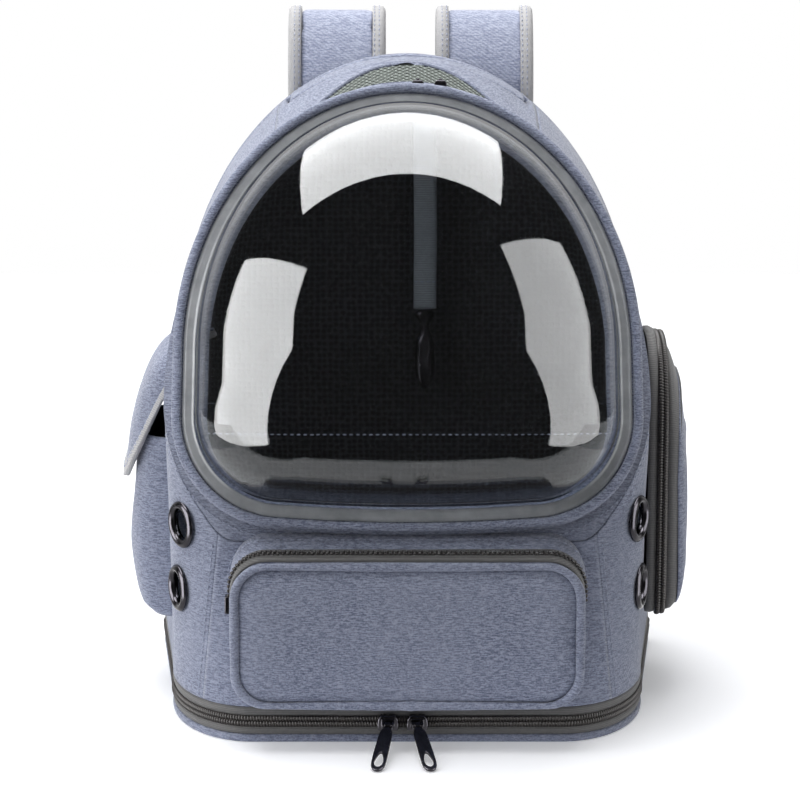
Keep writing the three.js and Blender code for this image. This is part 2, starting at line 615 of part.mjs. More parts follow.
put('right_pocket_outer_tape', rightBand(LAYER.coil + GAP, LAYER.outer, 0, cloth), TAPE);
const faceOut = loft([LAYER.outer + GAP, LAYER.face - 3, LAYER.face].map((x) => rightOutline(x, 0.4)));
const faceIn = loft([
  rightOutline(LAYER.outer - 1, 0.4 - cloth), rightOutline(LAYER.face - 3, -cloth),
  rightOutline(LAYER.face - 2, -4),
]);
put('right_pocket_face', faceOut.subtract(faceIn), CLOTH);
put('right_pocket_slider', box(
  LAYER.tape, LAYER.coil + 1, 22, 30, RIGHT_SIZE.foot - 6, RIGHT_SIZE.foot - 1.1,
), METAL);

// Shoulder straps: padded, bound on both edges, looped up over the back and down behind it.
// Along the line, "out" is a share of its reach behind the back and "up" of its height.
const STRAP = { wide: 67, edge: 8.7, thick: 9, bound: 9.8, reach: 63.4, foot: 178, crest: 442.5 };
const STRAP_LINE = [
  { out: 0, up: 0.658 }, { out: 0, up: 0.794 }, { out: 0.07, up: 0.885 }, { out: 0.227, up: 0.96 },
  { out: 0.432, up: 1 }, { out: 0.653, up: 0.994 }, { out: 0.842, up: 0.949 }, { out: 0.953, up: 0.87 },
  { out: 1, up: 0.733 }, { out: 0.968, up: 0.537 }, { out: 0.874, up: 0.318 }, { out: 0.748, up: 0.129 },
  { out: 0.621, up: 0 },
].map(({ out, up }) => [
  BACK_FACE + GAP + STRAP.bound / 2 + 0.4 + out * STRAP.reach, mix(STRAP.foot, STRAP.crest, up),
]);
// A band of a thickness about a line; both faces follow it.
function ribbon(line, thick) {
  const side = line.map((p, i) => {
    const before = line[Math.max(0, i - 1)];
    const after = line[Math.min(line.length - 1, i + 1)];
    const along = new THREE.Vector2(after[0] - before[0], after[1] - before[1]).normalize();
    return [p, [-along.y * thick / 2, along.x * thick / 2]];
  });
  const near = side.map(([p, out]) => [p[0] + out[0], p[1] + out[1]]);
  const far = side.map(([p, out]) => [p[0] - out[0], p[1] - out[1]]).reverse();
  return [...near, ...far];
}
const straps = [
  { side: 'left', x: -48.5, sign: -1 },
  { side: 'right', x: 54, sign: 1 },
];
const LOCK = { half: 17, thick: 6 };
const TAB = { middle: BASE_HALF - 54, foot: WALL_FOOT + 10, top: WALL_FOOT + 42 };
for (const { side, x, sign } of straps) {
  const half = STRAP.wide / 2;
  const inner = half - STRAP.edge;
  const pad = ribbon(STRAP_LINE, STRAP.thick);
  const bound = ribbon(STRAP_LINE, STRAP.bound);
  put(`strap_${side}`, prism(pad, x - inner + GAP, x + inner - GAP, alongX), CLOTH);
  put(`strap_${side}_binding_a`, prism(bound, x - half, x - inner, alongX), BINDING);
  put(`strap_${side}_binding_b`, prism(bound, x + inner, x + half, alongX), BINDING);

  // A strap lock hangs under the pad, and webbing runs from it to a tab near the base.
  const [footY, footZ] = STRAP_LINE[STRAP_LINE.length - 1];
  const from = new THREE.Vector3(x, footY - 0.5, footZ - 5);
  const to = new THREE.Vector3(sign * TAB.middle, BACK_FACE + 6, TAB.top - 4);
  const along = to.clone().sub(from).normalize();
  const across = new THREE.Vector3(1, 0, 0).addScaledVector(along, -along.x).normalize();
  const out = new THREE.Vector3().crossVectors(along, across).normalize();
  const bar = (start, end, wide, thick) => loft([start, end].map((distance) => {
    const middle = from.clone().addScaledVector(along, distance);
    return [[-1, -1], [1, -1], [1, 1], [-1, 1]].map(([a, b]) => middle.clone()
      .addScaledVector(across, a * wide).addScaledVector(out, b * thick).toArray());
  }));
  const span = from.distanceTo(to);
  put(`strap_lock_${side}`, bar(8, 28, LOCK.half, LOCK.thick / 2), BUCKLE);
  put(`strap_webbing_${side}`, bar(28.3, span - GAP, 12.5, 1), WEBBING);
  put(`strap_tab_${side}`, prism([
    [sign * (TAB.middle - 26), TAB.foot], [sign * (TAB.middle + 26), TAB.foot],
    [sign * (TAB.middle + 16), TAB.top - 4], [sign * (TAB.middle - 14), TAB.top],
  ], BACK_FACE + GAP, BACK_FACE + 7.5, alongY).subtract(bar(span - 20, span, 12.8, 1.3)), WEBBING);
}

// Inside hangs a leash of webbing with a clip at its end.
const LEASH = { x: 12.5, y: 80, half: 7.8, end: 247, thick: 2 };
put('leash', prism([
  [LEASH.y, LEASH.end], [LEASH.y + LEASH.thick, LEASH.end],
  [LEASH.y + LEASH.thick, HEIGHT], [LEASH.y, HEIGHT],
], LEASH.x - LEASH.half, LEASH.x + LEASH.half, alongX).intersect(form(ROLL + GAP, 30, WALL_BACK)), WEBBING);
const clip = [
  [-7, 0], [7, 0], [7, -5], [3, -8], [3, -16], [6, -20], [7, -44], [4, -54], [-2, -56], [-6, -50], [-7, -20],
  [-3, -16], [-3, -8], [-7, -5],
].map(([a, b]) => [LEASH.x + a, LEASH.end - GAP + b]);
put('leash_clip', prism(clip, LEASH.y - 2, LEASH.y + 4, alongY), METAL);

export default bag;
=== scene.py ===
import math
import json
import bpy
import bmesh
from mathutils import Vector, Matrix, noise

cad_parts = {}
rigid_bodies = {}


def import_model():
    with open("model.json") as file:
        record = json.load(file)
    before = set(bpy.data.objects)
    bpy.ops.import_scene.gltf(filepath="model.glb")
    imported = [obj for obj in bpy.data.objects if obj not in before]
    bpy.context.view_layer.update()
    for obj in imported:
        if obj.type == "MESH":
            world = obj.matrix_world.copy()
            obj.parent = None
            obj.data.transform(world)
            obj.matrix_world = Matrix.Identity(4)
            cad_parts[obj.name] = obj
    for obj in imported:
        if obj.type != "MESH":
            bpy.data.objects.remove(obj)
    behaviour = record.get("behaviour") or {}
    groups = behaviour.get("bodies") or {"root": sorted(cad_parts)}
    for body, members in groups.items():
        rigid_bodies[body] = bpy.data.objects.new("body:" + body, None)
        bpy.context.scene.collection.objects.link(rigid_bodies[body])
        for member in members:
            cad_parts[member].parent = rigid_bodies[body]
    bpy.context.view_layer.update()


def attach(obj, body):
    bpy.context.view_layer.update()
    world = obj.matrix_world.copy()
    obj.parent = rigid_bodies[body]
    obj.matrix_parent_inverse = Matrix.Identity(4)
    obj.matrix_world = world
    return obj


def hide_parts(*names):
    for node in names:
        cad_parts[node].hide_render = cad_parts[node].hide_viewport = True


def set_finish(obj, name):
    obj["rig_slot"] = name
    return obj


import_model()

# The view of the photograph: straight on, 13 degrees from above, through a long lens.
# A 36 mm sensor over 800 pixels gives 0.67 mm of the bag to a pixel.
VIEW_TILT = math.radians(13)
VIEW_DISTANCE = 2.2
VIEW_TARGET = Vector((-0.0047, 0, 0.2007))
view = bpy.data.cameras.new("view")
view.sensor_width = 36
view.lens = 147.76
view.clip_end = 30
camera = bpy.data.objects.new("view", view)
camera.location = VIEW_TARGET + VIEW_DISTANCE * Vector((0, -math.cos(VIEW_TILT), math.sin(VIEW_TILT)))
camera.rotation_euler = (math.pi / 2 - VIEW_TILT, 0, 0)
bpy.context.scene.collection.objects.link(camera)
bpy.context.scene.camera = camera


# The base: a stiff board covered in the body's cloth, zipped all round to the walls.
# The zip is a black moulded coil on two woven dark grey tapes, sewn on below and above.
WALL_FOOT = 24.3
BASE_HALF = 172
WALL_BACK = 104.4
# Rows of the walls: height, half of the flat front, front depth, half-width where the
# rounded corner ends, depth there, and half-width at the back, in millimetres.
WALL_ROWS = ((24, 100, -118, 157, -30, 172), (148, 112, -105, 158, -45, 165),
             (215, 138, -98, 158, -70, 158), (425, 138, -76, 158, -50, 158))


def linear(code):
    """One sRGB hex colour as the linear colour that a shader reads."""
    parts = [int(code[i:i + 2], 16) / 255 for i in (1, 3, 5)]
    return (*[c / 12.92 if c <= 0.04045 else ((c + 0.055) / 1.055) ** 2.4 for c in parts], 1)


def add(tree, kind, inputs=None, **settings):
    """Adds one node with its settings, and links or sets its inputs.

    A node given for an input stands for its first live output.
    """
    made = tree.nodes.new(kind)
    for key, value in settings.items():
        setattr(made, key, value)
    for key, value in (inputs or {}).items():
        live = made.inputs[key]
        if isinstance(key, str):
            live = next(s for s in made.inputs if s.name == key and s.enabled)
        if isinstance(value, bpy.types.Node):
            value = next(s for s in value.outputs if s.enabled)
        if isinstance(value, bpy.types.NodeSocket):
            tree.links.new(value, live)
        else:
            live.default_value = value
    return made


def finish(name, **shader):
    """A new material with its Principled shader's uniform values set on its own sockets."""
    material = bpy.data.materials.new(name)
    material.use_nodes = True
    tree = material.node_tree
    main = tree.nodes["Principled BSDF"]
    for key, value in shader.items():
        main.inputs[key.replace("_", " ")].default_value = value
    return material, tree, main


def melange(name, light, dark, fleck, slub=(44, 44, 300)):
    """Woven polyester cloth of two yarns; thin flecks run along the weft, as in a melange."""
    material, tree, main = finish(name, Roughness=0.88, Sheen_Weight=0.25, Sheen_Roughness=0.45)
    spot = add(tree, "ShaderNodeTexCoord").outputs["Object"]
    run = add(tree, "ShaderNodeMapping", {"Vector": spot, "Scale": slub}).outputs["Vector"]
    yarn = add(tree, "ShaderNodeTexNoise", {"Vector": run, "Scale": 5.0, "Detail": 3.0, "Roughness": 0.7})
    fine = add(tree, "ShaderNodeTexNoise", {"Vector": spot, "Scale": 900.0, "Detail": 2.0, "Roughness": 0.6})
    both = add(tree, "ShaderNodeMix", {"Factor": 0.3, "A": yarn, "B": fine})
    spread = add(tree, "ShaderNodeMapRange", {"Value": both, "From Min": 0.41, "From Max": 0.59})
    tone = add(tree, "ShaderNodeMix", {
        "Factor": spread, "A": linear(dark), "B": linear(light)}, data_type="RGBA")
    cloud = add(tree, "ShaderNodeTexNoise", {"Vector": spot, "Scale": 22.0, "Detail": 3.0})
    patch = add(tree, "ShaderNodeMapRange", {
        "Value": cloud, "From Min": 0.35, "From Max": 0.65, "To Min": 0.0, "To Max": 0.22})
    worn = add(tree, "ShaderNodeMix", {
        "Factor": patch, "A": tone, "B": linear(fleck)}, data_type="RGBA")
    tree.links.new(worn.outputs[2], main.inputs["Base Color"])
    # Thread ridges 0.9 mm apart on the bias, a little coarser than real so that they show.
    ridge = add(tree, "ShaderNodeTexWave", {
        "Vector": spot, "Scale": 170.0, "Distortion": 1.2, "Detail": 1.0, "Detail Scale": 2.0},
        wave_type="BANDS", bands_direction="DIAGONAL")
    weave = add(tree, "ShaderNodeMath", {0: ridge, 1: both}, operation="ADD")
    bump = add(tree, "ShaderNodeBump", {"Height": weave, "Strength": 0.35, "Distance": 0.00035})
    tree.links.new(bump.outputs["Normal"], main.inputs["Normal"])
    return material


# Blue-grey melange polyester, plain woven: matt, streaked, with a faint nap.
CLOTH = melange("woven_polyester_melange", "#8e95aa", "#4c536b", "#8f95a8")


def ribbed(name, colour, shade, pitch, axis="Z", roughness=0.8):
    """Woven tape: fine ribs at a pitch in millimetres, matt, with a slight mottle."""
    material, tree, main = finish(name, Roughness=roughness, Sheen_Weight=0.15)
    spot = add(tree, "ShaderNodeTexCoord").outputs["Object"]
    rib = add(tree, "ShaderNodeTexWave", {
        "Vector": spot, "Scale": 1000 / pitch * math.pi / 20 * 2, "Distortion": 0.6, "Detail": 1.0},
        wave_type="BANDS", bands_direction=axis)
    mottle = add(tree, "ShaderNodeTexNoise", {"Vector": spot, "Scale": 480.0, "Detail": 3.0})
    both = add(tree, "ShaderNodeMix", {"Factor": 0.5, "A": rib, "B": mottle})
    tone = add(tree, "ShaderNodeMix", {
        "Factor": both, "A": linear(shade), "B": linear(colour)}, data_type="RGBA")
    tree.links.new(tone.outputs[2], main.inputs["Base Color"])
    bump = add(tree, "ShaderNodeBump", {"Height": both, "Strength": 0.4, "Distance": 0.0003})
    tree.links.new(bump.outputs["Normal"], main.inputs["Normal"])
    return material


# Polyester zip tape, woven with lengthwise ribs about 1 mm apart, dyed dark grey.
TAPE = ribbed("woven_zip_tape", "#6b6a69", "#3c3c3e", 1.2)

# Moulded nylon coil: black, smooth, with a soft gloss on each turn.
COIL, coil_tree, coil_main = finish("moulded_nylon_coil", Roughness=0.34, IOR=1.53)
coil_spot = add(coil_tree, "ShaderNodeTexCoord").outputs["Object"]
coil_mark = add(coil_tree, "ShaderNodeTexNoise", {"Vector": coil_spot, "Scale": 240.0, "Detail": 2.0})
coil_tone = add(coil_tree, "ShaderNodeMix", {
    "Factor": coil_mark, "A": linear("#1c1a1b"), "B": linear("#3b3532")}, data_type="RGBA")
coil_tree.links.new(coil_tone.outputs[2], coil_main.inputs["Base Color"])


def wall_row(z):
    """The walls' measures at a height."""
    rows = WALL_ROWS
    i = 1
    while i < len(rows) - 1 and rows[i][0] < z:
        i += 1
    low, high = rows[i - 1], rows[i]
    t = max(0, (z - low[0]) / (high[0] - low[0]))
    return [a + (b - a) * t for a, b in zip(low, high)]


def corner(z, grow=0, steps=20):
    """Half of the walls' plan at a height, from the end of the flat front round the corner."""
    _, flat, front, side, side_y, _ = wall_row(z)
    out = []
    for i in range(steps + 1):
        angle = math.pi / 2 * i / steps
        out.append((flat + (side + grow - flat) * math.sin(angle),
                    side_y + (front - grow - side_y) * math.cos(angle)))
    return out


def spaced(points, count, closed=False):
    """The same path with evenly spaced points."""
    path = [Vector(p) for p in points]
    if closed:
        path.append(path[0])
    run = [0.0]
    for a, b in zip(path, path[1:]):
        run.append(run[-1] + (b - a).length)
    out = []
    i = 0
    for k in range(count):
        want = run[-1] * k / (count if closed else count - 1)
        while i < len(run) - 2 and run[i + 1] < want:
            i += 1
        share = (want - run[i]) / max(1e-9, run[i + 1] - run[i])
        out.append(path[i].lerp(path[i + 1], min(1, share)))
    return out


def made(name, points, faces, material, smooth=True):
    """A mesh object at the origin from points in millimetres."""
    mesh = bpy.data.meshes.new(name)
    # A face that names a point twice is kept as the triangle that it is.
    faces = [tuple(dict.fromkeys(face)) for face in faces]
    mesh.from_pydata([Vector(p) * 0.001 for p in points], [], [face for face in faces if len(face) > 2])
    for item in material if isinstance(material, (list, tuple)) else [material]:
        mesh.materials.append(item)
    mesh.polygons.foreach_set("use_smooth", [smooth] * len(mesh.polygons))
    piece = bpy.data.objects.new(name, mesh)
    bpy.context.scene.collection.objects.link(piece)
    return piece


def outward(piece):
    """Turns all faces of a closed piece outwards."""
    shape = bmesh.new()
    shape.from_mesh(piece.data)
    bmesh.ops.recalc_face_normals(shape, faces=shape.faces)
    shape.to_mesh(piece.data)
    shape.free()


def swept(name, sections, material, round_path=True, round_section=True, caps=False):
    """Sections of equal count joined into a skin; both ways may be closed."""
    count = len(sections[0])
    points = [p for section in sections for p in section]
    faces = []
    for r in range(len(sections) if round_path else len(sections) - 1):
        n = (r + 1) % len(sections)
        for i in range(count if round_section else count - 1):
            j = (i + 1) % count
            faces.append((r * count + i, r * count + j, n * count + j, n * count + i))
    if caps:
        faces.append(tuple(reversed(range(count))))
        faces.append(tuple((len(sections) - 1) * count + i for i in range(count)))
    piece = made(name, points, faces, material)
    if round_section and (round_path or caps):
        outward(piece)
    return piece


def base_path(grow, count):
    """The base's outline seen from above, evenly spaced."""
    half = corner(24, grow)
    end, back = BASE_HALF + grow, 116 + grow
    for i in range(7):
        angle = math.pi / 2 * i / 6
        half.append((end - 14 + 14 * math.cos(angle), back - 14 + 14 * math.sin(angle)))
    whole = half + [(-x, y) for x, y in reversed(half)]
    return spaced([(x, y, 0) for x, y in whole], count, closed=True)


def base_band(name, profile, material, count=360, wobble=0.0):
    """A band round the base; its profile is pairs of growth and height."""
    rings = []
    for grow, z in profile:
        path = base_path(grow, count)
        rings.append([(p.x, p.y, z + wobble * noise.noise(Vector((p.x, p.y, z)) * 0.03)) for p in path])
    return swept(name, [list(section) for section in zip(*rings)], material)


# The board, with the edge of its cloth cover turned over in a soft roll.
board_edge = [(0.1, 0.6), (0.4, 1.8), (0.5, 3.2), (0.1, 4.7), (-1.2, 5.4)]
board_points = [(p.x, p.y, 0.02) for p in base_path(-1.4, 300)]
for grow, z in board_edge:
    board_points += [(p.x, p.y, z) for p in base_path(grow, 300)]
board_faces = [tuple(reversed(range(300)))]
for r in range(len(board_edge)):
    for i in range(300):
        j = (i + 1) % 300
        board_faces.append((r * 300 + i, r * 300 + j, (r + 1) * 300 + j, (r + 1) * 300 + i))
board_faces.append(tuple(len(board_edge) * 300 + i for i in range(300)))
base_board = made("base_board", board_points, board_faces, CLOTH)
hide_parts("base_panel")
base_tape_low = base_band("base_tape_low", [
    (-0.6, 5.6), (0.1, 7), (0.2, 9), (-0.4, 10.9), (-3.4, 10.9), (-3.4, 5.6)], TAPE, wobble=0.25)
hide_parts("base_lower_tape")
base_tape_high = base_band("base_tape_high", [
    (-0.5, 18.1), (0.0, 19.5), (0.1, 21.5), (-0.6, 24), (-3.4, 24), (-3.4, 18.1)], TAPE, wobble=0.25)
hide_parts("base_upper_tape")


def turns(name, spots, material, long, wide, deep, sides=6):
    """One moulded turn of a coil, or one stitch, at each spot of a path.

    A spot is its place, the way along the path and the way out of the surface. The tree
    stands a small rounded bar across the path on each, and joins them to one mesh.
    """
    seeds = bpy.data.meshes.new(name)
    seeds.from_pydata([Vector(p) * 0.001 for p, _, _ in spots], [], [])
    for key, column in (("along", 1), ("out", 2)):
        store = seeds.attributes.new(key, "FLOAT_VECTOR", "POINT")
        store.data.foreach_set("vector", [c for spot in spots for c in spot[column]])
    holder = bpy.data.objects.new(name, seeds)
    bpy.context.scene.collection.objects.link(holder)
    tree = bpy.data.node_groups.new(name, "GeometryNodeTree")
    tree.interface.new_socket("Geometry", in_out="INPUT", socket_type="NodeSocketGeometry")
    for key in ("Long", "Wide", "Deep"):
        tree.interface.new_socket(key, in_out="INPUT", socket_type="NodeSocketFloat")
    tree.interface.new_socket("Geometry", in_out="OUTPUT", socket_type="NodeSocketGeometry")
    given = add(tree, "NodeGroupInput")
    bar = add(tree, "GeometryNodeMeshUVSphere", {"Segments": sides, "Rings": 5, "Radius": 0.5})
    size = add(tree, "ShaderNodeCombineXYZ", {
        "X": given.outputs["Deep"], "Y": given.outputs["Wide"], "Z": given.outputs["Long"]})
    shaped = add(tree, "GeometryNodeTransform", {"Geometry": bar, "Scale": size})
    out = add(tree, "GeometryNodeInputNamedAttribute", {"Name": "out"}, data_type="FLOAT_VECTOR")
    along = add(tree, "GeometryNodeInputNamedAttribute", {"Name": "along"}, data_type="FLOAT_VECTOR")
    stand = add(tree, "FunctionNodeAlignRotationToVector", {"Vector": out}, axis="X")
    turn = add(tree, "FunctionNodeAlignRotationToVector", {
        "Rotation": stand, "Vector": along}, axis="Y", pivot_axis="X")
    rows = add(tree, "GeometryNodeInstanceOnPoints", {
        "Points": given.outputs["Geometry"], "Instance": shaped,
        "Rotation": turn})
    whole = add(tree, "GeometryNodeRealizeInstances", {"Geometry": rows})
    soft = add(tree, "GeometryNodeSetShadeSmooth", {"Geometry": whole})
    dressed = add(tree, "GeometryNodeSetMaterial", {"Geometry": soft, "Material": material})
    add(tree, "NodeGroupOutput", {"Geometry": dressed})
    modifier = holder.modifiers.new("turns", "NODES")
    modifier.node_group = tree
    for socket, value in zip([s for s in tree.interface.items_tree if s.socket_type == "NodeSocketFloat"],
                             (long, wide, deep)):
        modifier[socket.identifier] = value * 0.001
    bpy.context.view_layer.update()
    result = bpy.data.meshes.new_from_object(holder.evaluated_get(bpy.context.evaluated_depsgraph_get()))
    holder.modifiers.remove(modifier)
    holder.data = result
    return holder


def path_frames(path, outs, closed):
    """Along and out directions at each point of a path."""
    spots = []
    for i, p in enumerate(path):
        before = path[i - 1] if closed or i else p
        after = path[(i + 1) % len(path)] if closed or i + 1 < len(path) else p
        along = (after - before).normalized()
        out = outs[i] - along * outs[i].dot(along)
        spots.append((p, along, out.normalized()))
    return spots


def coil(name, path, outs, width, closed, pitch=1.9, lift=0.0):
    """Both halves of a closed coil zip: two rows of turns that mesh at the middle."""
    spots = []
    for i, (p, along, out) in enumerate(path_frames(path, outs, closed)):
        across = along.cross(out)
        side = 1 if i % 2 else -1
        spots.append((p + across * side * width * 0.24 + out * lift, along, out))
    return turns(name, spots, COIL, width * 0.56, pitch * 1.25, 2.4)


base_length = 1068
base_zip = base_path(0.1, 2 * int(base_length / 1.9))
base_zip = [Vector((p.x, p.y, 14.6)) for p in base_zip]
base_outs = [Vector((p.x * 0.35, p.y, 0)).normalized() for p in base_zip]
for i, p in enumerate(base_zip):
    step = base_zip[(i + 1) % len(base_zip)] - base_zip[i - 1]
    base_outs[i] = Vector((step.y, -step.x, 0)).normalized()
base_coil = coil("base_coil", base_zip, base_outs, 7.2, True)
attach(base_coil, "bag")
coil_bed = base_band("base_coil_bed", [(-0.6, 11.0), (-0.5, 18.0), (-2.6, 18.0), (-2.6, 11.0)], COIL)
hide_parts("base_zip_coil")
for piece in (base_board, base_tape_low, base_tape_high, coil_bed):
    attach(piece, "bag")


# The walls: one layer of woven polyester with foam behind it and a near-black lining. Two
# gussets come round from the front panel's seams, and they meet over the top round the vent.
# Each seam is folded under and held with one row of lock stitch.
SEAM = ((10, 135), (152, 120))
SIDE = 158
ARCH = 215
CROWN = 205
ROLL_FRONT = 66
ROLL_HALF = 82
VENT_HALF = 60
RIM_FOOT = Vector((0, -113, 148))
RIM_LEAN = math.radians(24)
EYELETS = {"left_upper": (-1, 0.768, 137), "left_lower": (-1, 0.853, 92),
           "right_upper": (1, 0.853, 139), "right_lower": (1, 0.931, 90)}

# Polyester lining: near black, tightly woven, matt.
LINING, lining_tree, lining_main = finish("woven_lining", Roughness=0.75, Sheen_Weight=0.1)
lining_spot = add(lining_tree, "ShaderNodeTexCoord").outputs["Object"]
lining_yarn = add(lining_tree, "ShaderNodeTexNoise", {"Vector": lining_spot, "Scale": 300.0, "Detail": 3.0})
lining_tone = add(lining_tree, "ShaderNodeMix", {
    "Factor": lining_yarn, "A": linear("#14161a"), "B": linear("#2b2f37")}, data_type="RGBA")
lining_tree.links.new(lining_tone.outputs[2], lining_main.inputs["Base Color"])
lining_bump = add(lining_tree, "ShaderNodeBump", {"Height": lining_yarn, "Strength": 0.3, "Distance": 0.0003})
lining_tree.links.new(lining_bump.outputs["Normal"], lining_main.inputs["Normal"])

# Spun polyester sewing thread, a shade lighter than the cloth, with a slight gloss.
THREAD, thread_tree, thread_main = finish("sewing_thread", Roughness=0.55)
thread_spot = add(thread_tree, "ShaderNodeTexCoord").outputs["Object"]
thread_mark = add(thread_tree, "ShaderNodeTexNoise", {"Vector": thread_spot, "Scale": 700.0})
thread_tone = add(thread_tree, "ShaderNodeMix", {
    "Factor": thread_mark, "A": linear("#79819b"), "B": linear("#aab1c6")}, data_type="RGBA")
thread_tree.links.new(thread_tone.outputs[2], thread_main.inputs["Base Color"])


def seam_x(z):
    """Half-width of the front panel at a height."""
    return SEAM[0][1] + (SEAM[1][1] - SEAM[0][1]) * (z - SEAM[0][0]) / (SEAM[1][0] - SEAM[0][0])


def plane_y(z, n):
    """Depth of the leaning rim plane's layer n at a height."""
    along = (z - RIM_FOOT.z - n * math.sin(RIM_LEAN)) / math.cos(RIM_LEAN)
    return RIM_FOOT.y + along * math.sin(RIM_LEAN) - n * math.cos(RIM_LEAN)


def wall_y(x, z):
    """Depth of the front wall at a place across it."""
    _, flat, front, side, side_y, _ = wall_row(z)
    if abs(x) <= flat:
        return front
    share = min(1, (abs(x) - flat) / (side - flat))
    return side_y + (front - side_y) * math.sqrt(1 - share * share)


def crown(y):
    """Rise of the arch above its springing at a depth."""
    return CROWN - 0.16 * max(0, ROLL_FRONT - y)


def rumple(p, size=0.6):
    """Slight unevenness of hand-sewn cloth: long soft swells and fine drawn lines."""
    q = Vector(p)
    slow = noise.noise(q * 0.018) * 1.2
    fast = noise.noise(Vector((q.x * 0.05, q.y * 0.05, q.z * 0.016))) * 0.6
    return size * (slow + fast)


def cut_path(z, count=150):
    """Right half of the walls' plan at a height, from the seam or the rim plane to the back."""
    path = [(x, y) for x, y in corner(z, 0, 60)]
    path.insert(0, (0, path[0][1]))
    row = wall_row(z)
    path.append((row[5], WALL_BACK))
    fine = spaced([(x, y, z) for x, y in path], 600)
    kept = [p for p in fine if p.x >= seam_x(z) - 0.2 and p.y >= plane_y(z, -12.3)] if z < 160 else [
        p for p in fine if p.y >= plane_y(z, -12.3)]
    return spaced(kept, count)


def gusset_rows():
    """Rows of the right gusset from its foot up over the arch to the top panel's seam."""
    rows = []
    for i in range(66):
        rows.append(cut_path(WALL_FOOT + (ARCH - WALL_FOOT) * i / 65))
    end = math.acos(88 / SIDE)
    for i in range(1, 60):
        angle = end * i / 59
        z = ARCH + CROWN * math.sin(angle)
        x = SIDE * math.cos(angle)
        start = plane_y(ARCH + crown(plane_y(z, -12.3)) * math.sin(angle), -12.3)
        rows.append([Vector((x, y, ARCH + crown(y) * math.sin(angle)))
                     for y in [start + (WALL_BACK - start) * j / 149 for j in range(150)]])
    return rows


def sheet_from(name, rows, flip, thick=2.8, size=0.6, holes=()):
    """A cloth sheet from rows of points: cut, rumpled, and lined on its inner side."""
    count = len(rows[0])
    points = [p for row in rows for p in row]
    faces = []
    for r in range(len(rows) - 1):
        for i in range(count - 1):
            a, b = r * count + i, (r + 1) * count + i
            faces.append((a, a + 1, b + 1, b) if not flip else (a, b, b + 1, a + 1))
    piece = made(name, points, faces, [CLOTH, LINING])
    mesh = piece.data
    normals = [v.normal.copy() for v in mesh.vertices]
    for i, v in enumerate(mesh.vertices):
        r, c = divmod(i, count)
        edge = min(r, len(rows) - 1 - r, c, count - 1 - c)
        v.co -= normals[i] * 0.001 * max(0, rumple(v.co * 1000, size) + size) * min(1, edge / 5)
    if holes:
        shape = bmesh.new()
        shape.from_mesh(mesh)
        gone = [f for f in shape.faces
                if any((f.calc_center_median() * 1000 - h).length < 12.2 for h in holes)]
        bmesh.ops.delete(shape, geom=gone, context="FACES")
        shape.to_mesh(mesh)
        shape.free()
    wall = piece.modifiers.new("lining", "SOLIDIFY")
    wall.thickness = thick * 0.001
    wall.offset = -1
    wall.material_offset = 1
    wall.use_even_offset = False
    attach(piece, "bag")
    return piece


def eyelet_spot(sign, share, z):
    """Centre of an eyelet on the wall and the way it faces."""
    _, flat, front, side, side_y, _ = wall_row(z)
    depth = front - side_y
    spot = Vector((flat + (side - flat) * share, side_y + depth * math.sqrt(1 - share * share), z))
    way = Vector((share / (side - flat), (spot.y - side_y) / depth ** 2, 0)).normalized()
    return Vector((spot.x * sign, spot.y, spot.z)), Vector((way.x * sign, way.y, way.z))


for label, sign in (("left", -1), ("right", 1)):
    walls = [[Vector((p.x * sign, p.y, p.z)) for p in row] for row in gusset_rows()]
    holes = [eyelet_spot(*row)[0] for row in EYELETS.values() if row[0] == sign]
    gusset = sheet_from("gusset_cloth_" + label, walls, sign < 0, holes=holes)
    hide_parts("gusset_" + label)

# The top panel between the gussets is cut out in front for the vent.
top_rows = []
for i in range(81):
    x = -88 + 176 * i / 80
    lift = math.sqrt(1 - (x / SIDE) ** 2)
    front_y = 0
    for _ in range(8):
        front_y = plane_y(ARCH + crown(front_y) * lift, -12.3)
    if abs(x) < VENT_HALF:
        front_y = max(front_y, ROLL_FRONT - 50 * (x / VENT_HALF) ** 2)
    back_y = ROLL_FRONT if abs(x) < ROLL_HALF else WALL_BACK
    top_rows.append([Vector((x, y, ARCH + crown(y) * lift))
                     for y in [front_y + (back_y - front_y) * j / 30 for j in range(31)]])
top_panel = sheet_from("top_panel_cloth", top_rows, True, size=0.3)

# The front panel, below the rim, with drawn lines where the cloth is pulled at its seams.
front_rows = []
for i in range(121):
    share = -1 + i / 60
    low, high = WALL_FOOT, 150
    for _ in range(30):
        middle = (low + high) / 2
        if wall_y(share * seam_x(middle), middle) > plane_y(middle, -12.3):
            low = middle
        else:
            high = middle
    column = []
    for j in range(61):
        z = WALL_FOOT + (low - WALL_FOOT) * j / 60
        x = share * seam_x(z)
        column.append(Vector((x, wall_y(x, z), z)))
    front_rows.append(column)
front = sheet_from("front_panel_cloth", front_rows, True)
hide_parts("front_panel")


def stitches(name, path, outs, long=3.0, gap=1.3, closed=False, wide=0.9, material=None):
    """A row of lock stitch along a path in millimetres."""
    run = sum((b - a).length for a, b in zip(path, path[1:]))
    count = max(3, int(run / (long + gap)))
    spots = spaced(path, count, closed)
    ways = spaced([Vector(o) for o in outs], len(path), False) if len(outs) != len(path) else outs
    picked = [Vector(ways[min(len(ways) - 1, int(i * (len(ways) - 1) / max(1, count - 1) + 0.5))])
              for i in range(count)]
    piece = turns(name, path_frames(spots, picked, closed), material or THREAD, wide, long, 0.7)
    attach(piece, "bag")
    return piece


def seam_rows(inset, height):
    """Points up a front seam and the ways out, a distance to the side of it."""
    path, outs = [], []
    for i in range(40):
        z = WALL_FOOT + 4 + (height - WALL_FOOT - 4) * i / 39
        x = seam_x(z) + inset
        path.append(Vector((x, wall_y(x, z) - 0.25, z)))
        outs.append(Vector((0.5, -1, 0)).normalized())
    return path, outs


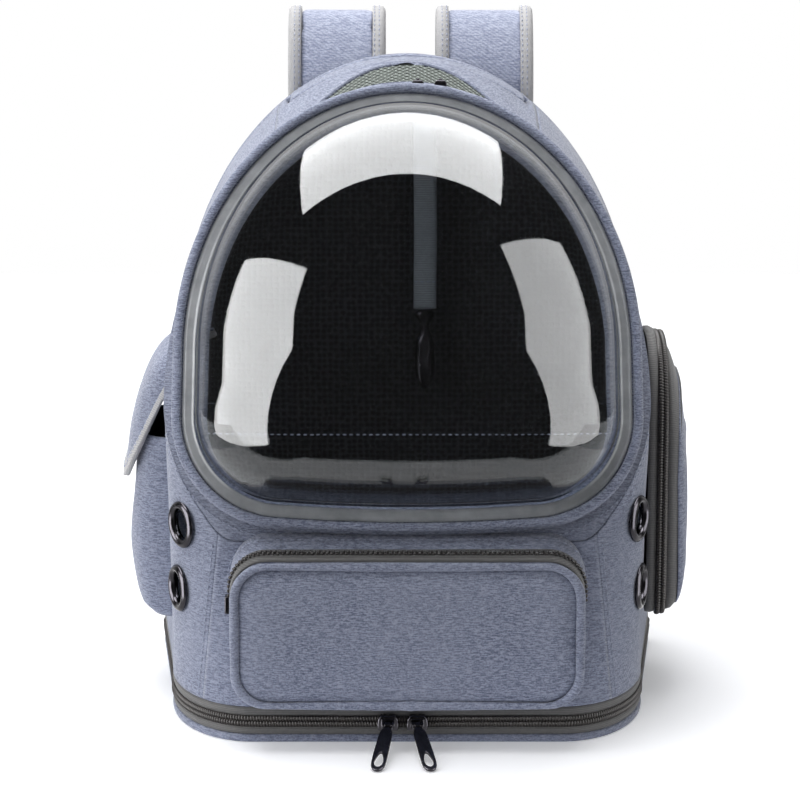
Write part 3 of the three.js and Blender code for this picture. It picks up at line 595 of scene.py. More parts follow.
for label, sign in (("left", -1), ("right", 1)):
    path, outs = seam_rows(3.2, 128)
    stitches("seam_stitches_" + label, [Vector((p.x * sign, p.y, p.z)) for p in path],
             [Vector((o.x * sign, o.y, 0)) for o in outs])


# The eyelets: four two-part brass rings, black nickel plated, pressed together through the wall.
EYELET_PROFILE = ((10.0, -3.6), (9.9, -1.2), (10.3, 0.8), (11.4, 2.0), (12.8, 2.3),
                  (14.3, 1.7), (15.3, 0.5), (15.5, -0.6), (14.6, -0.9), (12.0, -1.2), (11.2, -3.4))

# Black nickel plate: a dark mirror, faintly brushed by handling.
BLACK_NICKEL, nickel_tree, nickel_main = finish("black_nickel_plate", Metallic=1.0, Roughness=0.2)
nickel_spot = add(nickel_tree, "ShaderNodeTexCoord").outputs["Object"]
nickel_mark = add(nickel_tree, "ShaderNodeTexNoise", {"Vector": nickel_spot, "Scale": 320.0, "Detail": 4.0})
nickel_tone = add(nickel_tree, "ShaderNodeMix", {
    "Factor": nickel_mark, "A": linear("#3c3b40"), "B": linear("#5d5b60")}, data_type="RGBA")
nickel_tree.links.new(nickel_tone.outputs[2], nickel_main.inputs["Base Color"])
nickel_wear = add(nickel_tree, "ShaderNodeMapRange", {"Value": nickel_mark, "To Min": 0.12, "To Max": 0.34})
nickel_tree.links.new(nickel_wear.outputs["Result"], nickel_main.inputs["Roughness"])

for label, row in EYELETS.items():
    spot, way = eyelet_spot(*row)
    across = Vector((-way.y, way.x, 0))
    rings = []
    for i in range(48):
        angle = 2 * math.pi * i / 48
        arm = across * math.cos(angle) + Vector((0, 0, 1)) * math.sin(angle)
        rings.append([spot + arm * r + way * d for r, d in EYELET_PROFILE])
    ring = swept("eyelet_ring_" + label, rings, BLACK_NICKEL)
    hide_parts("eyelet_" + label)
    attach(ring, "bag")


# The back panel: foam under black spacer mesh, sewn in five channels, bound to the walls.
BACK_FRONT = 104.9
BACK_REAR = 114.5

# Spacer mesh: knitted polyester with open cells about 4 mm apart, drawn at that size.
SPACER, spacer_tree, spacer_main = finish("knitted_spacer_mesh", Roughness=0.8, Sheen_Weight=0.2)
spacer_spot = add(spacer_tree, "ShaderNodeTexCoord").outputs["Object"]
spacer_cell = add(spacer_tree, "ShaderNodeTexVoronoi", {
    "Vector": spacer_spot, "Scale": 240.0, "Randomness": 0.35}, feature="F1")
spacer_hole = add(spacer_tree, "ShaderNodeMapRange", {
    "Value": spacer_cell, "From Min": 0.3, "From Max": 0.55})
spacer_tone = add(spacer_tree, "ShaderNodeMix", {
    "Factor": spacer_hole, "A": linear("#1b1d21"), "B": linear("#33363c")}, data_type="RGBA")
spacer_tree.links.new(spacer_tone.outputs[2], spacer_main.inputs["Base Color"])
spacer_bump = add(spacer_tree, "ShaderNodeBump", {"Height": spacer_hole, "Strength": 0.6, "Distance": 0.0008})
spacer_tree.links.new(spacer_bump.outputs["Normal"], spacer_main.inputs["Normal"])


def puffed(piece, voxel, cap, pressure=4.0, steps=20, still=None):
    """Swells a closed piece by simulated cloth, each point by at most the cap in millimetres."""
    remesh = piece.modifiers.new("remesh", "REMESH")
    remesh.mode = "VOXEL"
    remesh.voxel_size = voxel * 0.001
    remesh.use_smooth_shade = True
    bpy.context.view_layer.update()
    mesh = bpy.data.meshes.new_from_object(piece.evaluated_get(bpy.context.evaluated_depsgraph_get()))
    piece.modifiers.clear()
    piece.data = mesh
    start = [v.co.copy() for v in mesh.vertices]
    cloth = piece.modifiers.new("cloth", "CLOTH")
    cloth.settings.quality = 4
    cloth.settings.use_pressure = True
    cloth.settings.uniform_pressure_force = pressure
    cloth.settings.tension_stiffness = 12
    cloth.settings.effector_weights.gravity = 0
    cloth.collision_settings.use_collision = False
    cloth.point_cache.frame_start = 1
    cloth.point_cache.frame_end = steps
    for step in range(1, steps + 1):
        bpy.context.scene.frame_set(step)
    grown = piece.evaluated_get(bpy.context.evaluated_depsgraph_get()).data
    ends = [v.co.copy() for v in grown.vertices]
    piece.modifiers.clear()
    bpy.context.scene.frame_set(1)
    for v, a, b in zip(mesh.vertices, start, ends):
        move = b - a
        limit = cap * 0.001
        if move.length > limit:
            move *= limit / move.length
        v.co = a + move * (still(a * 1000) if still else 1)
    smooth = piece.modifiers.new("smooth", "SUBSURF")
    smooth.levels = smooth.render_levels = 1
    bpy.context.view_layer.update()
    result = bpy.data.meshes.new_from_object(piece.evaluated_get(bpy.context.evaluated_depsgraph_get()))
    piece.modifiers.clear()
    piece.data = result
    result.polygons.foreach_set("use_smooth", [True] * len(result.polygons))


def back_outline(inset, z_foot):
    """The back panel's outline seen from behind, pairs of width and height."""
    half = []
    for i in range(40):
        z = z_foot + (ARCH - z_foot) * i / 39
        half.append((wall_row(z)[5] - inset, z))
    for i in range(1, 41):
        angle = math.pi / 2 * i / 40
        half.append(((SIDE - inset) * math.cos(angle), ARCH + (CROWN - inset) * math.sin(angle)))
    return half + [(-x, z) for x, z in reversed(half[:-1])]


def pad_from(name, outline, front_y, rear_y, material):
    """A closed flat pad between two depths, ready to swell."""
    sections = [[Vector((x, y, z)) for x, z in outline] for y in (front_y, (front_y + rear_y) / 2, rear_y)]
    return swept(name, sections, material, round_path=False, caps=True)


back_pad = pad_from("back_pad", back_outline(2.5, 22), BACK_FRONT + 0.8, BACK_REAR - 1.5, SPACER)
puffed(back_pad, 5.5, 3.0)
CHANNELS = (95, 160, 225, 290, 350)
for v in back_pad.data.vertices:
    if v.co.y > 0.11:
        near = min(abs(v.co.z * 1000 - z) for z in CHANNELS)
        v.co.y -= 0.0042 * math.exp(-(near / 5) ** 2)
    v.co.y = max(v.co.y, BACK_FRONT * 0.001)
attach(back_pad, "bag")
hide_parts("back_panel")
# A folded tape binds the pad's edge to the walls.
edge_path = [Vector((x, 110, z)) for x, z in back_outline(0.6, 21)]
edge_rings = []
for i, p in enumerate(edge_path):
    before, after = edge_path[max(0, i - 1)], edge_path[min(len(edge_path) - 1, i + 1)]
    run = (after - before).normalized()
    out = Vector((run.z, 0, -run.x))
    edge_rings.append([p + out * a + Vector((0, b, 0)) for a, b in (
        (-7, -4.6), (-0.6, -4.6), (0.2, -3), (0.5, 0), (0.3, 3.4), (-0.6, 5.6), (-7, 6.4), (-7, 5.2),
        (-1.4, 4.4), (-1.4, -4))])
back_binding = swept("back_binding", edge_rings, CLOTH, round_path=False, caps=True)
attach(back_binding, "bag")


# The roll over the vent: the top panel's padded edge, foam in body cloth, swelling over the mesh.
roll_sections = []
for i in range(61):
    x = -ROLL_HALF + 1.5 + (2 * ROLL_HALF - 3) * i / 60
    lift = math.sqrt(1 - (x / SIDE) ** 2)
    z = ARCH + CROWN * lift
    slope = Vector((CROWN * x / (SIDE ** 2 * lift), 0, 1)).normalized()
    depth = 6.4 if 0 < i < 60 else 3
    roll_sections.append([Vector((x, y, z)) + slope * d for y, d in (
        (ROLL_FRONT + 0.6, -3.2), (ROLL_FRONT + 2, -0.9), (ROLL_FRONT + 5, -0.3), (WALL_BACK - 3, -0.3),
        (WALL_BACK - 0.6, -2), (WALL_BACK - 0.6, -depth), (ROLL_FRONT + 3, -depth),
        (ROLL_FRONT + 0.9, -5.2))])
roll = swept("roll_pad", roll_sections, CLOTH, round_path=False, caps=True)
puffed(roll, 3.0, 2.2)
for v in roll.data.vertices:
    v.co.y = min(v.co.y, (WALL_BACK - 0.1) * 0.001)
    v.co.z += 0.0005 * noise.noise(v.co * 60)
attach(roll, "bag")
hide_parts("top_roll")


# The vent: a crescent of open hexagon mesh, knitted polyester in grey, over a dark net.
VENT_CELL = 4.9

# Open knitted mesh yarn, grey-green, a little glossy.
MESH_YARN, yarn_tree, yarn_main = finish("mesh_yarn", Roughness=0.55, Sheen_Weight=0.2)
yarn_spot = add(yarn_tree, "ShaderNodeTexCoord").outputs["Object"]
yarn_mark = add(yarn_tree, "ShaderNodeTexNoise", {"Vector": yarn_spot, "Scale": 420.0, "Detail": 2.0})
yarn_tone = add(yarn_tree, "ShaderNodeMix", {
    "Factor": yarn_mark, "A": linear("#3b423f"), "B": linear("#7c867f")}, data_type="RGBA")
yarn_tree.links.new(yarn_tone.outputs[2], yarn_main.inputs["Base Color"])


def arch_top(x, y, drop):
    """Height of the walls' top at a place, less a drop."""
    return ARCH + (crown(y) - drop) * math.sqrt(max(0, 1 - (x / (SIDE - drop)) ** 2))


def in_vent(x, y, margin=0.0):
    """Whether a place seen from above lies in the crescent."""
    if abs(x) > VENT_HALF + margin:
        return False
    z = arch_top(x, y, 0)
    return plane_y(z, -12.3) - margin - 1 < y < ROLL_FRONT + 2.0 + margin - 50 * (x / VENT_HALF) ** 2


vent_shape = bmesh.new()
known = {}
for row in range(24):
    for column in range(-20, 21):
        cx = (column + 0.5 * (row % 2)) * VENT_CELL
        cy = 8 + row * VENT_CELL * 0.74
        if not in_vent(cx, cy, 3.0):
            continue
        ring = []
        for k in range(6):
            angle = math.pi / 3 * k + math.pi / 6
            x = cx + VENT_CELL * 0.577 * math.cos(angle)
            y = cy + VENT_CELL * 0.49 * math.sin(angle)
            key = (round(x, 0), round(y, 0))
            if key not in known:
                known[key] = vent_shape.verts.new(Vector((x, y, arch_top(x, y, 2.4))) * 0.001)
            ring.append(known[key])
        for a, b in zip(ring, ring[1:] + ring[:1]):
            if a is not b and not vent_shape.edges.get((a, b)):
                vent_shape.edges.new((a, b))
vent_lines = bpy.data.meshes.new("vent_lines")
vent_shape.to_mesh(vent_lines)
vent_shape.free()
vent_mesh = bpy.data.objects.new("vent_mesh", vent_lines)
bpy.context.scene.collection.objects.link(vent_mesh)


def thread_along(piece, radius, material, sides=6):
    """Gives every edge of a piece a round thread, by a tree with the radius as its input."""
    tree = bpy.data.node_groups.new("threads", "GeometryNodeTree")
    tree.interface.new_socket("Geometry", in_out="INPUT", socket_type="NodeSocketGeometry")
    size = tree.interface.new_socket("Radius", in_out="INPUT", socket_type="NodeSocketFloat")
    tree.interface.new_socket("Geometry", in_out="OUTPUT", socket_type="NodeSocketGeometry")
    given = add(tree, "NodeGroupInput")
    lines = add(tree, "GeometryNodeMeshToCurve", {"Mesh": given.outputs["Geometry"]})
    ring = add(tree, "GeometryNodeCurvePrimitiveCircle", {
        "Resolution": sides, "Radius": given.outputs["Radius"]})
    tubes = add(tree, "GeometryNodeCurveToMesh", {"Curve": lines, "Profile Curve": ring, "Fill Caps": True})
    soft = add(tree, "GeometryNodeSetShadeSmooth", {"Geometry": tubes})
    whole = add(tree, "GeometryNodeRealizeInstances", {"Geometry": soft})
    dressed = add(tree, "GeometryNodeSetMaterial", {"Geometry": whole, "Material": material})
    add(tree, "NodeGroupOutput", {"Geometry": dressed})
    modifier = piece.modifiers.new("threads", "NODES")
    modifier.node_group = tree
    modifier[size.identifier] = radius * 0.001
    bpy.context.view_layer.update()
    result = bpy.data.meshes.new_from_object(piece.evaluated_get(bpy.context.evaluated_depsgraph_get()))
    piece.modifiers.clear()
    piece.data = result


thread_along(vent_mesh, 0.68, MESH_YARN)
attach(vent_mesh, "bag")
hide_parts("top_mesh")
net_rows = []
for i in range(41):
    x = -VENT_HALF - 3 + (2 * VENT_HALF + 6) * i / 40
    rear = ROLL_FRONT + 3 - 50 * (x / VENT_HALF) ** 2
    z = arch_top(x, 20, 0)
    fore = min(rear - 0.5, plane_y(z, -12.3))
    places = [fore + (rear - fore) * j / 16 for j in range(17)]
    net_rows.append([Vector((x, y, arch_top(x, y, 5.2))) for y in places])
net_points = [p for row in net_rows for p in row]
net_faces = [(r * 17 + i, (r + 1) * 17 + i, (r + 1) * 17 + i + 1, r * 17 + i + 1)
             for r in range(40) for i in range(16)]
vent_net = made("vent_net", net_points, net_faces, LINING)
net_wall = vent_net.modifiers.new("wall", "SOLIDIFY")
net_wall.thickness = 0.0008
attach(vent_net, "bag")


# The dome's opening: a stiff ring in the front, a coil zip along it, and the dome's own
# covered ring with a piped edge. Below, where no zip runs, a cloth hinge holds the dome.
RIM_HALF = 145
RIM_RISE = 173.2
RIM_SPRING = 109.8
RIM_CORNER = (79, 68, 67)
HINGE_HALF = 84


def rim_point(s, along, n):
    """A place on the leaning rim: across, up the plane and out of it."""
    sine, cosine = math.sin(RIM_LEAN), math.cos(RIM_LEAN)
    return Vector((s, RIM_FOOT.y + along * sine - n * cosine, RIM_FOOT.z + along * cosine + n * sine))


def rim_curve(count):
    """The rim's outline in its own plane, evenly spaced from the middle of its foot."""
    half = [(79 * t / 20, 1 - 3 * (1 - (t / 20) ** 2)) for t in range(21)]
    cx, cy, radius = RIM_CORNER
    for i in range(1, 25):
        angle = math.radians(-90 + 90 * i / 24)
        half.append((cx + radius * math.cos(angle) - 0.6 * i / 24, cy + radius * math.sin(angle)))
    for i in range(61):
        angle = math.pi / 2 * i / 60
        half.append((RIM_HALF * math.cos(angle), RIM_SPRING + RIM_RISE * math.sin(angle)))
    whole = half + [(-x, y) for x, y in reversed(half[1:-1])]
    return spaced([(x, y, 0) for x, y in whole], count, closed=True)


def rim_frame(count):
    """Places on the rim's outline with their outward ways, in the rim's plane."""
    curve = rim_curve(count)
    out = []
    for i, p in enumerate(curve):
        run = (curve[(i + 1) % count] - curve[i - 1]).normalized()
        out.append((p, Vector((run.y, -run.x, 0))))
    return out


def rim_band(name, profile, material, count=420, keep=None, waver=None):
    """A band that follows the rim; its profile is pairs of growth and layer height."""
    sections = []
    for p, way in rim_frame(count):
        shift = waver(p) if waver else 0
        sections.append([rim_point(p.x + way.x * g, p.y + way.y * g, n + shift) for g, n in profile])
    if keep:
        kept = [keep(p) for p, _ in rim_frame(count)]
        first = next(i for i in range(count) if kept[i] and not kept[i - 1])
        order = [sections[(first + k) % count] for k in range(count) if kept[(first + k) % count]]
        piece = swept(name, order, material, round_path=False, caps=True)
    else:
        piece = swept(name, sections, material)
    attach(piece, "bag")
    return piece


def zipped(p):
    """Whether the zip runs past this place of the rim."""
    return not (p.y < 4 and abs(p.x) < HINGE_HALF)


# The ring in the front, covered in body cloth, and the cloth that joins it to the walls.
ring_sections = []
for p, way in rim_frame(420):
    inner = p - way * 14
    lo, hi = 0.0, 40.0
    for _ in range(24):
        middle = (lo + hi) / 2
        spot = rim_point(p.x + way.x * middle, p.y + way.y * middle, -12.3)
        if spot.z > ARCH:
            shape = math.hypot(spot.x / SIDE, (spot.z - ARCH) / crown(spot.y)) < 1
        else:
            _, flat, front, side, side_y, _ = wall_row(spot.z)
            reach = abs(spot.x) < side and (
                spot.y > side_y or abs(spot.x) < flat or spot.y > wall_y(spot.x, spot.z))
            shape = reach and spot.y > wall_y(spot.x, spot.z)
        lo, hi = (middle, hi) if shape else (lo, middle)
    outer = p + way * max(2.0, lo - 0.4)
    middle = (inner + outer) / 2
    ring_sections.append([rim_point(q.x, q.y, n) for q, n in (
        (inner, -11.9), (inner, -10.2), (middle, -10.0), (outer, -10.3), (outer, -11.4),
        (outer - way, -12.0), (middle, -12.0))])
front_ring = swept("front_ring", ring_sections, CLOTH)
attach(front_ring, "bag")
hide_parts("front_frame")

ring_tape = rim_band("ring_zip_tape", [(-9.8, -9.6), (-3, -9.5), (5.3, -9.5), (5.7, -8.2), (5.4, -6.9),
                                       (-3, -6.8), (-9.8, -6.9)], TAPE, keep=zipped)
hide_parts("dome_zip_tape")
ring_bed = rim_band("ring_zip_bed", [(0.6, -6.5), (4.8, -6.5), (4.8, -3.7), (0.6, -3.7)], COIL, keep=zipped)
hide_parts("dome_zip_coil")
ring_path = [(p, way) for p, way in rim_frame(1040)]
ring_start = next(i for i in range(1040) if zipped(ring_path[i][0]) and not zipped(ring_path[i - 1][0]))
ring_turned = [ring_path[(ring_start + k) % 1040] for k in range(1040)]
ring_run = [place for place in ring_turned if zipped(place[0])]
lean_out = lambda way: rim_point(way.x, way.y, 0) - RIM_FOOT
ring_coil = coil("ring_coil", [rim_point(p.x + w.x * 4.7, p.y + w.y * 4.7, -5.0) for p, w in ring_run],
                 [lean_out(w) for p, w in ring_run], 3.0, False, pitch=0.95)
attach(ring_coil, "bag")

# The covered ring of the dome, with the piping's welt turned up along its edge.
flange = rim_band("dome_ring", [(-11.8, -3.1), (0, -3.1), (5.8, -3.1), (6.6, -1.7), (6.0, -0.5), (4.4, -0.3),
                                (-6, -0.4), (-11.8, -0.5)], CLOTH)
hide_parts("dome_flange")
pipe_profile = []
for i in range(16):
    angle = 2 * math.pi * i / 16
    pipe_profile.append((3.5 + 3.0 * math.cos(angle), 2.9 + 2.95 * math.sin(angle)))
dome_pipe = rim_band("dome_piping_cord", pipe_profile, CLOTH, count=560,
                     waver=lambda p: 0.3 * noise.noise(p * 0.06) + 0.12 * noise.noise(p * 0.4))
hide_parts("dome_piping")
fold_shape = [(-2, -9.6), (4.4, -9.6), (6.6, -8.2), (7.0, -6.6), (6.4, -4.6), (4.8, -3.7), (-2, -3.7)]
hinge_fold = rim_band("hinge_fold", fold_shape, CLOTH,
                      keep=lambda p: not zipped(p) and p.y < 4, waver=lambda p: 0.2 * noise.noise(p * 0.05))
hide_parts("hinge_band")


def rim_stitches(name, grow, n, keep=None, out=None, long=2.9):
    """Lock stitch along the rim at a growth and layer."""
    run = rim_frame(800)
    if keep:
        first = next((i for i in range(800) if keep(run[i][0]) and not keep(run[i - 1][0])), 0)
        run = [run[(first + k) % 800] for k in range(800) if keep(run[(first + k) % 800][0])]
    path = [rim_point(p.x + w.x * grow, p.y + w.y * grow, n) for p, w in run]
    outs = [lean_out(w) * out[0] + (rim_point(0, 0, 1) - RIM_FOOT) * out[1] for p, w in run]
    return stitches(name, path, outs, long=long, closed=not keep)


rim_stitches("dome_ring_stitches", 6.5, -1.7, out=(1, 0.1))
rim_stitches("ring_stitches_outer", 11.5, -9.9, out=(0, 1),
             keep=lambda p: zipped(p) and abs(p.x) > 40 and p.y < 60)


# The dome: clear polycarbonate sheet, vacuum formed over a mould, with a flat lip sewn
# under the piping. It is glossy on both faces, and the black lining shows through it.
DOME_BULGE = 88
DOME_HEART = Vector((0, 122.85, 0))
DOME_SKIN = 2.0

CLEAR, clear_tree, clear_main = finish(
    "clear_polycarbonate", Roughness=0.02, IOR=1.585, Transmission_Weight=1.0)
clear_spot = add(clear_tree, "ShaderNodeTexCoord").outputs["Object"]
# Vacuum forming leaves slow ripples, and wiping leaves faint hazes.
clear_flow = add(clear_tree, "ShaderNodeTexNoise", {"Vector": clear_spot, "Scale": 9.0, "Detail": 1.0})
clear_bump = add(clear_tree, "ShaderNodeBump", {"Height": clear_flow, "Strength": 0.06, "Distance": 0.004})
clear_tree.links.new(clear_bump.outputs["Normal"], clear_main.inputs["Normal"])
clear_haze = add(clear_tree, "ShaderNodeTexNoise", {"Vector": clear_spot, "Scale": 45.0, "Detail": 4.0})
clear_rough = add(clear_tree, "ShaderNodeMapRange", {"Value": clear_haze, "From Min": 0.4, "From Max": 0.8,
                                                     "To Min": 0.015, "To Max": 0.06})
clear_tree.links.new(clear_rough.outputs["Result"], clear_main.inputs["Roughness"])
clear_tone = add(clear_tree, "ShaderNodeMix", {
    "Factor": clear_haze, "A": linear("#eef0f2"), "B": linear("#d6dadd")}, data_type="RGBA")
clear_tree.links.new(clear_tone.outputs[2], clear_main.inputs["Base Color"])


# The dome's lip and the first of its rise show as a pale band: partly scuffed by the sewing, and partly a
# painted highlight for the rim's reflection of the white studio.
EDGE, edge_tree, edge_main = finish(
    "polycarbonate_lip_scuffed_and_painted_highlight", Roughness=0.25, IOR=1.585, Transmission_Weight=0.4)
edge_spot = add(edge_tree, "ShaderNodeTexCoord").outputs["Object"]
edge_mark = add(edge_tree, "ShaderNodeTexNoise", {"Vector": edge_spot, "Scale": 90.0, "Detail": 5.0})
# The pale tone is partly scuff marks and partly painted highlight.
edge_tone = add(edge_tree, "ShaderNodeMix", {
    "Factor": edge_mark, "A": linear("#94979b"), "B": linear("#d0d3d7")}, data_type="RGBA")
edge_tree.links.new(edge_tone.outputs[2], edge_main.inputs["Base Color"])
edge_bump = add(edge_tree, "ShaderNodeBump", {"Height": edge_mark, "Strength": 0.15, "Distance": 0.0006})
edge_tree.links.new(edge_bump.outputs["Normal"], edge_main.inputs["Normal"])


def dome_skin(depth, count=300, rings=46):
    """Points of the dome's outer or inner face, from the lip inwards, and its crown."""
    frame_points = rim_frame(count)
    rows = []
    for grow, n in ((-0.4, 2.0), (-3.0, 2.0), (-5.6, 2.05)):
        rows.append([rim_point(p.x + w.x * grow, p.y + w.y * grow, n - depth) for p, w in frame_points])
    for k in range(rings):
        # The share of the radius falls slowly at the edge, where the wall stands steep.
        t = k / rings
        share = (1 - t * t * t * 0.45 - t * 0.55)
        height = DOME_BULGE * (1 - share ** 2.5) ** 0.5
        inset = depth * share ** 6
        rise = max(0, height - depth * (1 - share ** 6)) if depth else height
        ring = []
        for p, w in frame_points:
            edge = p - w * (8 + inset)
            q = DOME_HEART + (edge - DOME_HEART) * share
            ring.append(rim_point(q.x, q.y, 2.0 - depth * (share ** 6) + rise if k else 2.0 - depth))
        rows.append(ring)
    return rows, rim_point(DOME_HEART.x, DOME_HEART.y, 2.0 + DOME_BULGE - depth)


outer_rows, outer_crown = dome_skin(0)
inner_rows, inner_crown = dome_skin(DOME_SKIN)
ring_count = len(outer_rows[0])
dome_points = [p for row in outer_rows for p in row] + [outer_crown]
dome_points += [p for row in inner_rows for p in row] + [inner_crown]
half_count = len(outer_rows) * ring_count + 1
dome_faces = []
for start in (0, half_count):
    for r in range(len(outer_rows) - 1):
        for i in range(ring_count):
            j = (i + 1) % ring_count
            a, b = start + r * ring_count, start + (r + 1) * ring_count
            dome_faces.append((a + i, a + j, b + j, b + i))
    last, tip = start + (len(outer_rows) - 1) * ring_count, start + half_count - 1
    dome_faces += [(last + i, last + (i + 1) % ring_count, tip) for i in range(ring_count)]
for i in range(ring_count):
    j = (i + 1) % ring_count
    dome_faces.append((i, j, half_count + j, half_count + i))
clear_dome = made("clear_dome", dome_points, dome_faces, [CLEAR, EDGE])
rows_each = len(outer_rows) - 1
for k, face in enumerate(clear_dome.data.polygons):
    block, place = divmod(k, rows_each * ring_count + ring_count)
    # The lip and the first rows take the pale band: partly scuffing, partly painted highlight.
    if block < 2 and place < 3 * ring_count:
        face.material_index = 1
outward(clear_dome)
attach(clear_dome, "bag")
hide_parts("dome")
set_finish(clear_dome, "clear_dome")


# The front pocket: a shallow box of the body cloth over thin foam, piped round its face. Its
# coil zip runs over the top and down both ends, on a dark tape that folds back to the wall.
POCKET_HALF = 113
POCKET_FOOT = 30
POCKET_TOP = 127
POCKET_FACE = -145
POCKET_ROUND = 23
PIPE_DEEP = 2.8
PIPE_ROUND = 2.7
TAPE_NEAR, COIL_NEAR, COIL_FAR, TAPE_FAR = 6.4, 10, 17, 23
ZIP_END = 104


def pocket_curve(grow, depth, count):
    """The pocket's outline at a depth behind its face, evenly spaced, pairs of x and z."""
    rise = 11 * depth / 41
    half, foot, top = POCKET_HALF + grow, POCKET_FOOT - grow, POCKET_TOP + rise + grow
    radius = POCKET_ROUND + grow * 0.6
    line = []
    for cx, cz, begin in ((half - radius, foot + radius, -90), (half - radius, top - radius, 0),
                          (-half + radius, top - radius, 90), (-half + radius, foot + radius, 180)):
        for i in range(13):
            angle = math.radians(begin + 90 * i / 12)
            line.append((cx + radius * math.cos(angle), cz + radius * math.sin(angle), 0))
    return spaced([(0, foot, 0)] + line, count, closed=True)


def pocket_ring(grow, depth, count=360, give=0.0):
    """The same outline as places on the pocket, its sides a little slack."""
    ring = []
    for p in pocket_curve(grow, depth, count):
        slack = give * (noise.noise(Vector((p.x * 0.02, p.y * 0.02, depth * 0.05))) + 0.3)
        ring.append(Vector((p.x * (1 - slack / 110), POCKET_FACE + depth, p.y - slack * 0.6)))
    return ring


# The face: a pad crowned by its foam, its cloth drawn down at the piping.
face_rows = []
for inset, depth in ((4.6, 6.4), (4.5, 5.0), (5.0, 3.9), (6.2, 3.0), (8.0, 2.1), (10.5, 1.2)):
    face_rows.append(pocket_ring(-inset, depth))
FACE_STEPS = 24
for k in range(1, FACE_STEPS):
    share = 1 - k / FACE_STEPS
    ring = []
    for p in pocket_curve(-10.5, 0, 360):
        core = Vector((max(-80, min(80, p.x)), (POCKET_FOOT + POCKET_TOP) / 2, 0))
        q = core + (p - core) * share
        crowned = 2.4 * (1 - share ** 3)
        soft = 1.1 * noise.noise(Vector((q.x * 0.016, q.y * 0.022, 5.1))) * (1 - share ** 6)
        ring.append(Vector((q.x, POCKET_FACE + 1.2 - crowned + soft, q.y)))
    face_rows.append(ring)
pocket_points = [p for row in face_rows for p in row]
pocket_faces = []
for r in range(len(face_rows) - 1):
    for i in range(360):
        j = (i + 1) % 360
        pocket_faces.append((r * 360 + i, r * 360 + j, (r + 1) * 360 + j, (r + 1) * 360 + i))
last = (len(face_rows) - 1) * 360
for i in range(90):
    pocket_faces.append((last + i, last + i + 1, last + 179 - i, last + 180 - i))
    pocket_faces.append((last + (360 - i) % 360, last + 180 + i, last + 181 + i, last + 359 - i))
pocket_face = made("front_pocket_face", pocket_points, pocket_faces, [CLOTH, LINING])
pocket_wall = pocket_face.modifiers.new("lining", "SOLIDIFY")
pocket_wall.thickness = 0.0022
pocket_wall.offset = -1
pocket_wall.material_offset = 1
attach(pocket_face, "bag")


def pocket_side(name, near, far, grow, material, top_only=False, steps=6, thick=2.2, bow=0.0):
    """A band of the pocket's side between two depths, going back to the wall."""
    rows = []
    for k in range(steps + 1):
        depth = near + (far - near) * k / steps
        swell = bow * math.sin(math.pi * k / steps)
        row = []
        for p in pocket_ring(grow + swell, depth, give=0.5):
            if far > 40:
                wall = wall_y(p.x, max(25, min(150, p.z)))
                p.y = POCKET_FACE + near + (wall + 1.5 - POCKET_FACE - near) * k / steps
                slope = 11 * (p.y - POCKET_FACE) / 41 - 11 * depth / 41
                p.z += slope * max(0, min(1, (p.z - 80) / 40))
            row.append(p)
        rows.append(row)
    if top_only:
        keep = [i for i in range(360) if rows[0][i].z > ZIP_END]
        first = keep[0]
        rows = [[row[i] for i in keep] for row in rows]
    sections = [list(section) for section in zip(*rows)]
    count = len(sections[0])
    points = [p for section in sections for p in section]
    faces = []
    for r in range(len(sections) if not top_only else len(sections) - 1):
        n = (r + 1) % len(sections)
        for i in range(count - 1):
            faces.append((r * count + i, n * count + i, n * count + i + 1, r * count + i + 1))
    piece = made(name, points, faces, [material, LINING])
    centre = Vector((0, -0.12, 0.08))
    if sum(f.normal.dot(f.center - centre) for f in piece.data.polygons) < 0:
        piece.data.flip_normals()
    wall = piece.modifiers.new("lining", "SOLIDIFY")
    wall.thickness = thick * 0.001
    wall.offset = -1
    wall.material_offset = 1
    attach(piece, "bag")
    return piece


pocket_side("front_pocket_lip", 3.4, TAPE_NEAR + 3.4, -2.2, CLOTH, steps=3)
pocket_body = pocket_side("front_pocket_sides", TAPE_FAR - 5.8, 41, 0.0, CLOTH, steps=14, bow=1.2)
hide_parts("front_pocket")
pocket_tape = pocket_side("front_pocket_tape", TAPE_NEAR - 0.4, TAPE_FAR, -0.3, TAPE,
                          top_only=True, steps=8, thick=1.6, bow=0.8)
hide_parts("front_pocket_zip_tape")
pocket_side("front_pocket_gusset", TAPE_NEAR - 0.4, TAPE_FAR, -1.6, CLOTH, steps=6)
zip_ring = [p for p in pocket_ring(1.0, (COIL_NEAR + COIL_FAR) / 2, 400) if p.z > ZIP_END - 4]
middle = (POCKET_FOOT + POCKET_TOP) / 2
zip_outs = []
for i, p in enumerate(zip_ring):
    before, after = zip_ring[max(0, i - 1)], zip_ring[min(len(zip_ring) - 1, i + 1)]
    run = after - before
    zip_outs.append(Vector((run.z, 0, -run.x)).normalized())
pocket_coil = coil("front_pocket_coil", zip_ring, zip_outs, 6.6, False, pitch=1.7)
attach(pocket_coil, "bag")
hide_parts("front_pocket_zip_coil")

# Piping: cotton cord under bias-cut body cloth, joined under the middle of the face.
pipe_sections = []
pipe_rings = zip(pocket_ring(-PIPE_DEEP, PIPE_DEEP, 520), pocket_ring(-PIPE_DEEP + 1, PIPE_DEEP, 520))
for i, (a, b) in enumerate(pipe_rings):
    out = (b - a).normalized()
    swell = 0.22 * noise.noise(a * 0.07) + 0.1 * noise.noise(a * 0.5)
    joint = 0.35 * math.exp(-((a.x - 2) / 3) ** 2) if a.z < 40 else 0
    section = []
    for k in range(16):
        angle = 2 * math.pi * k / 16
        r = PIPE_ROUND + swell + joint + 0.25
        section.append(a + out * r * math.cos(angle) + Vector((0, 1, 0)) * r * math.sin(angle))
    pipe_sections.append(section)
pocket_pipe = swept("front_pocket_piping_cord", pipe_sections, CLOTH)
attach(pocket_pipe, "bag")
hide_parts("front_pocket_piping")


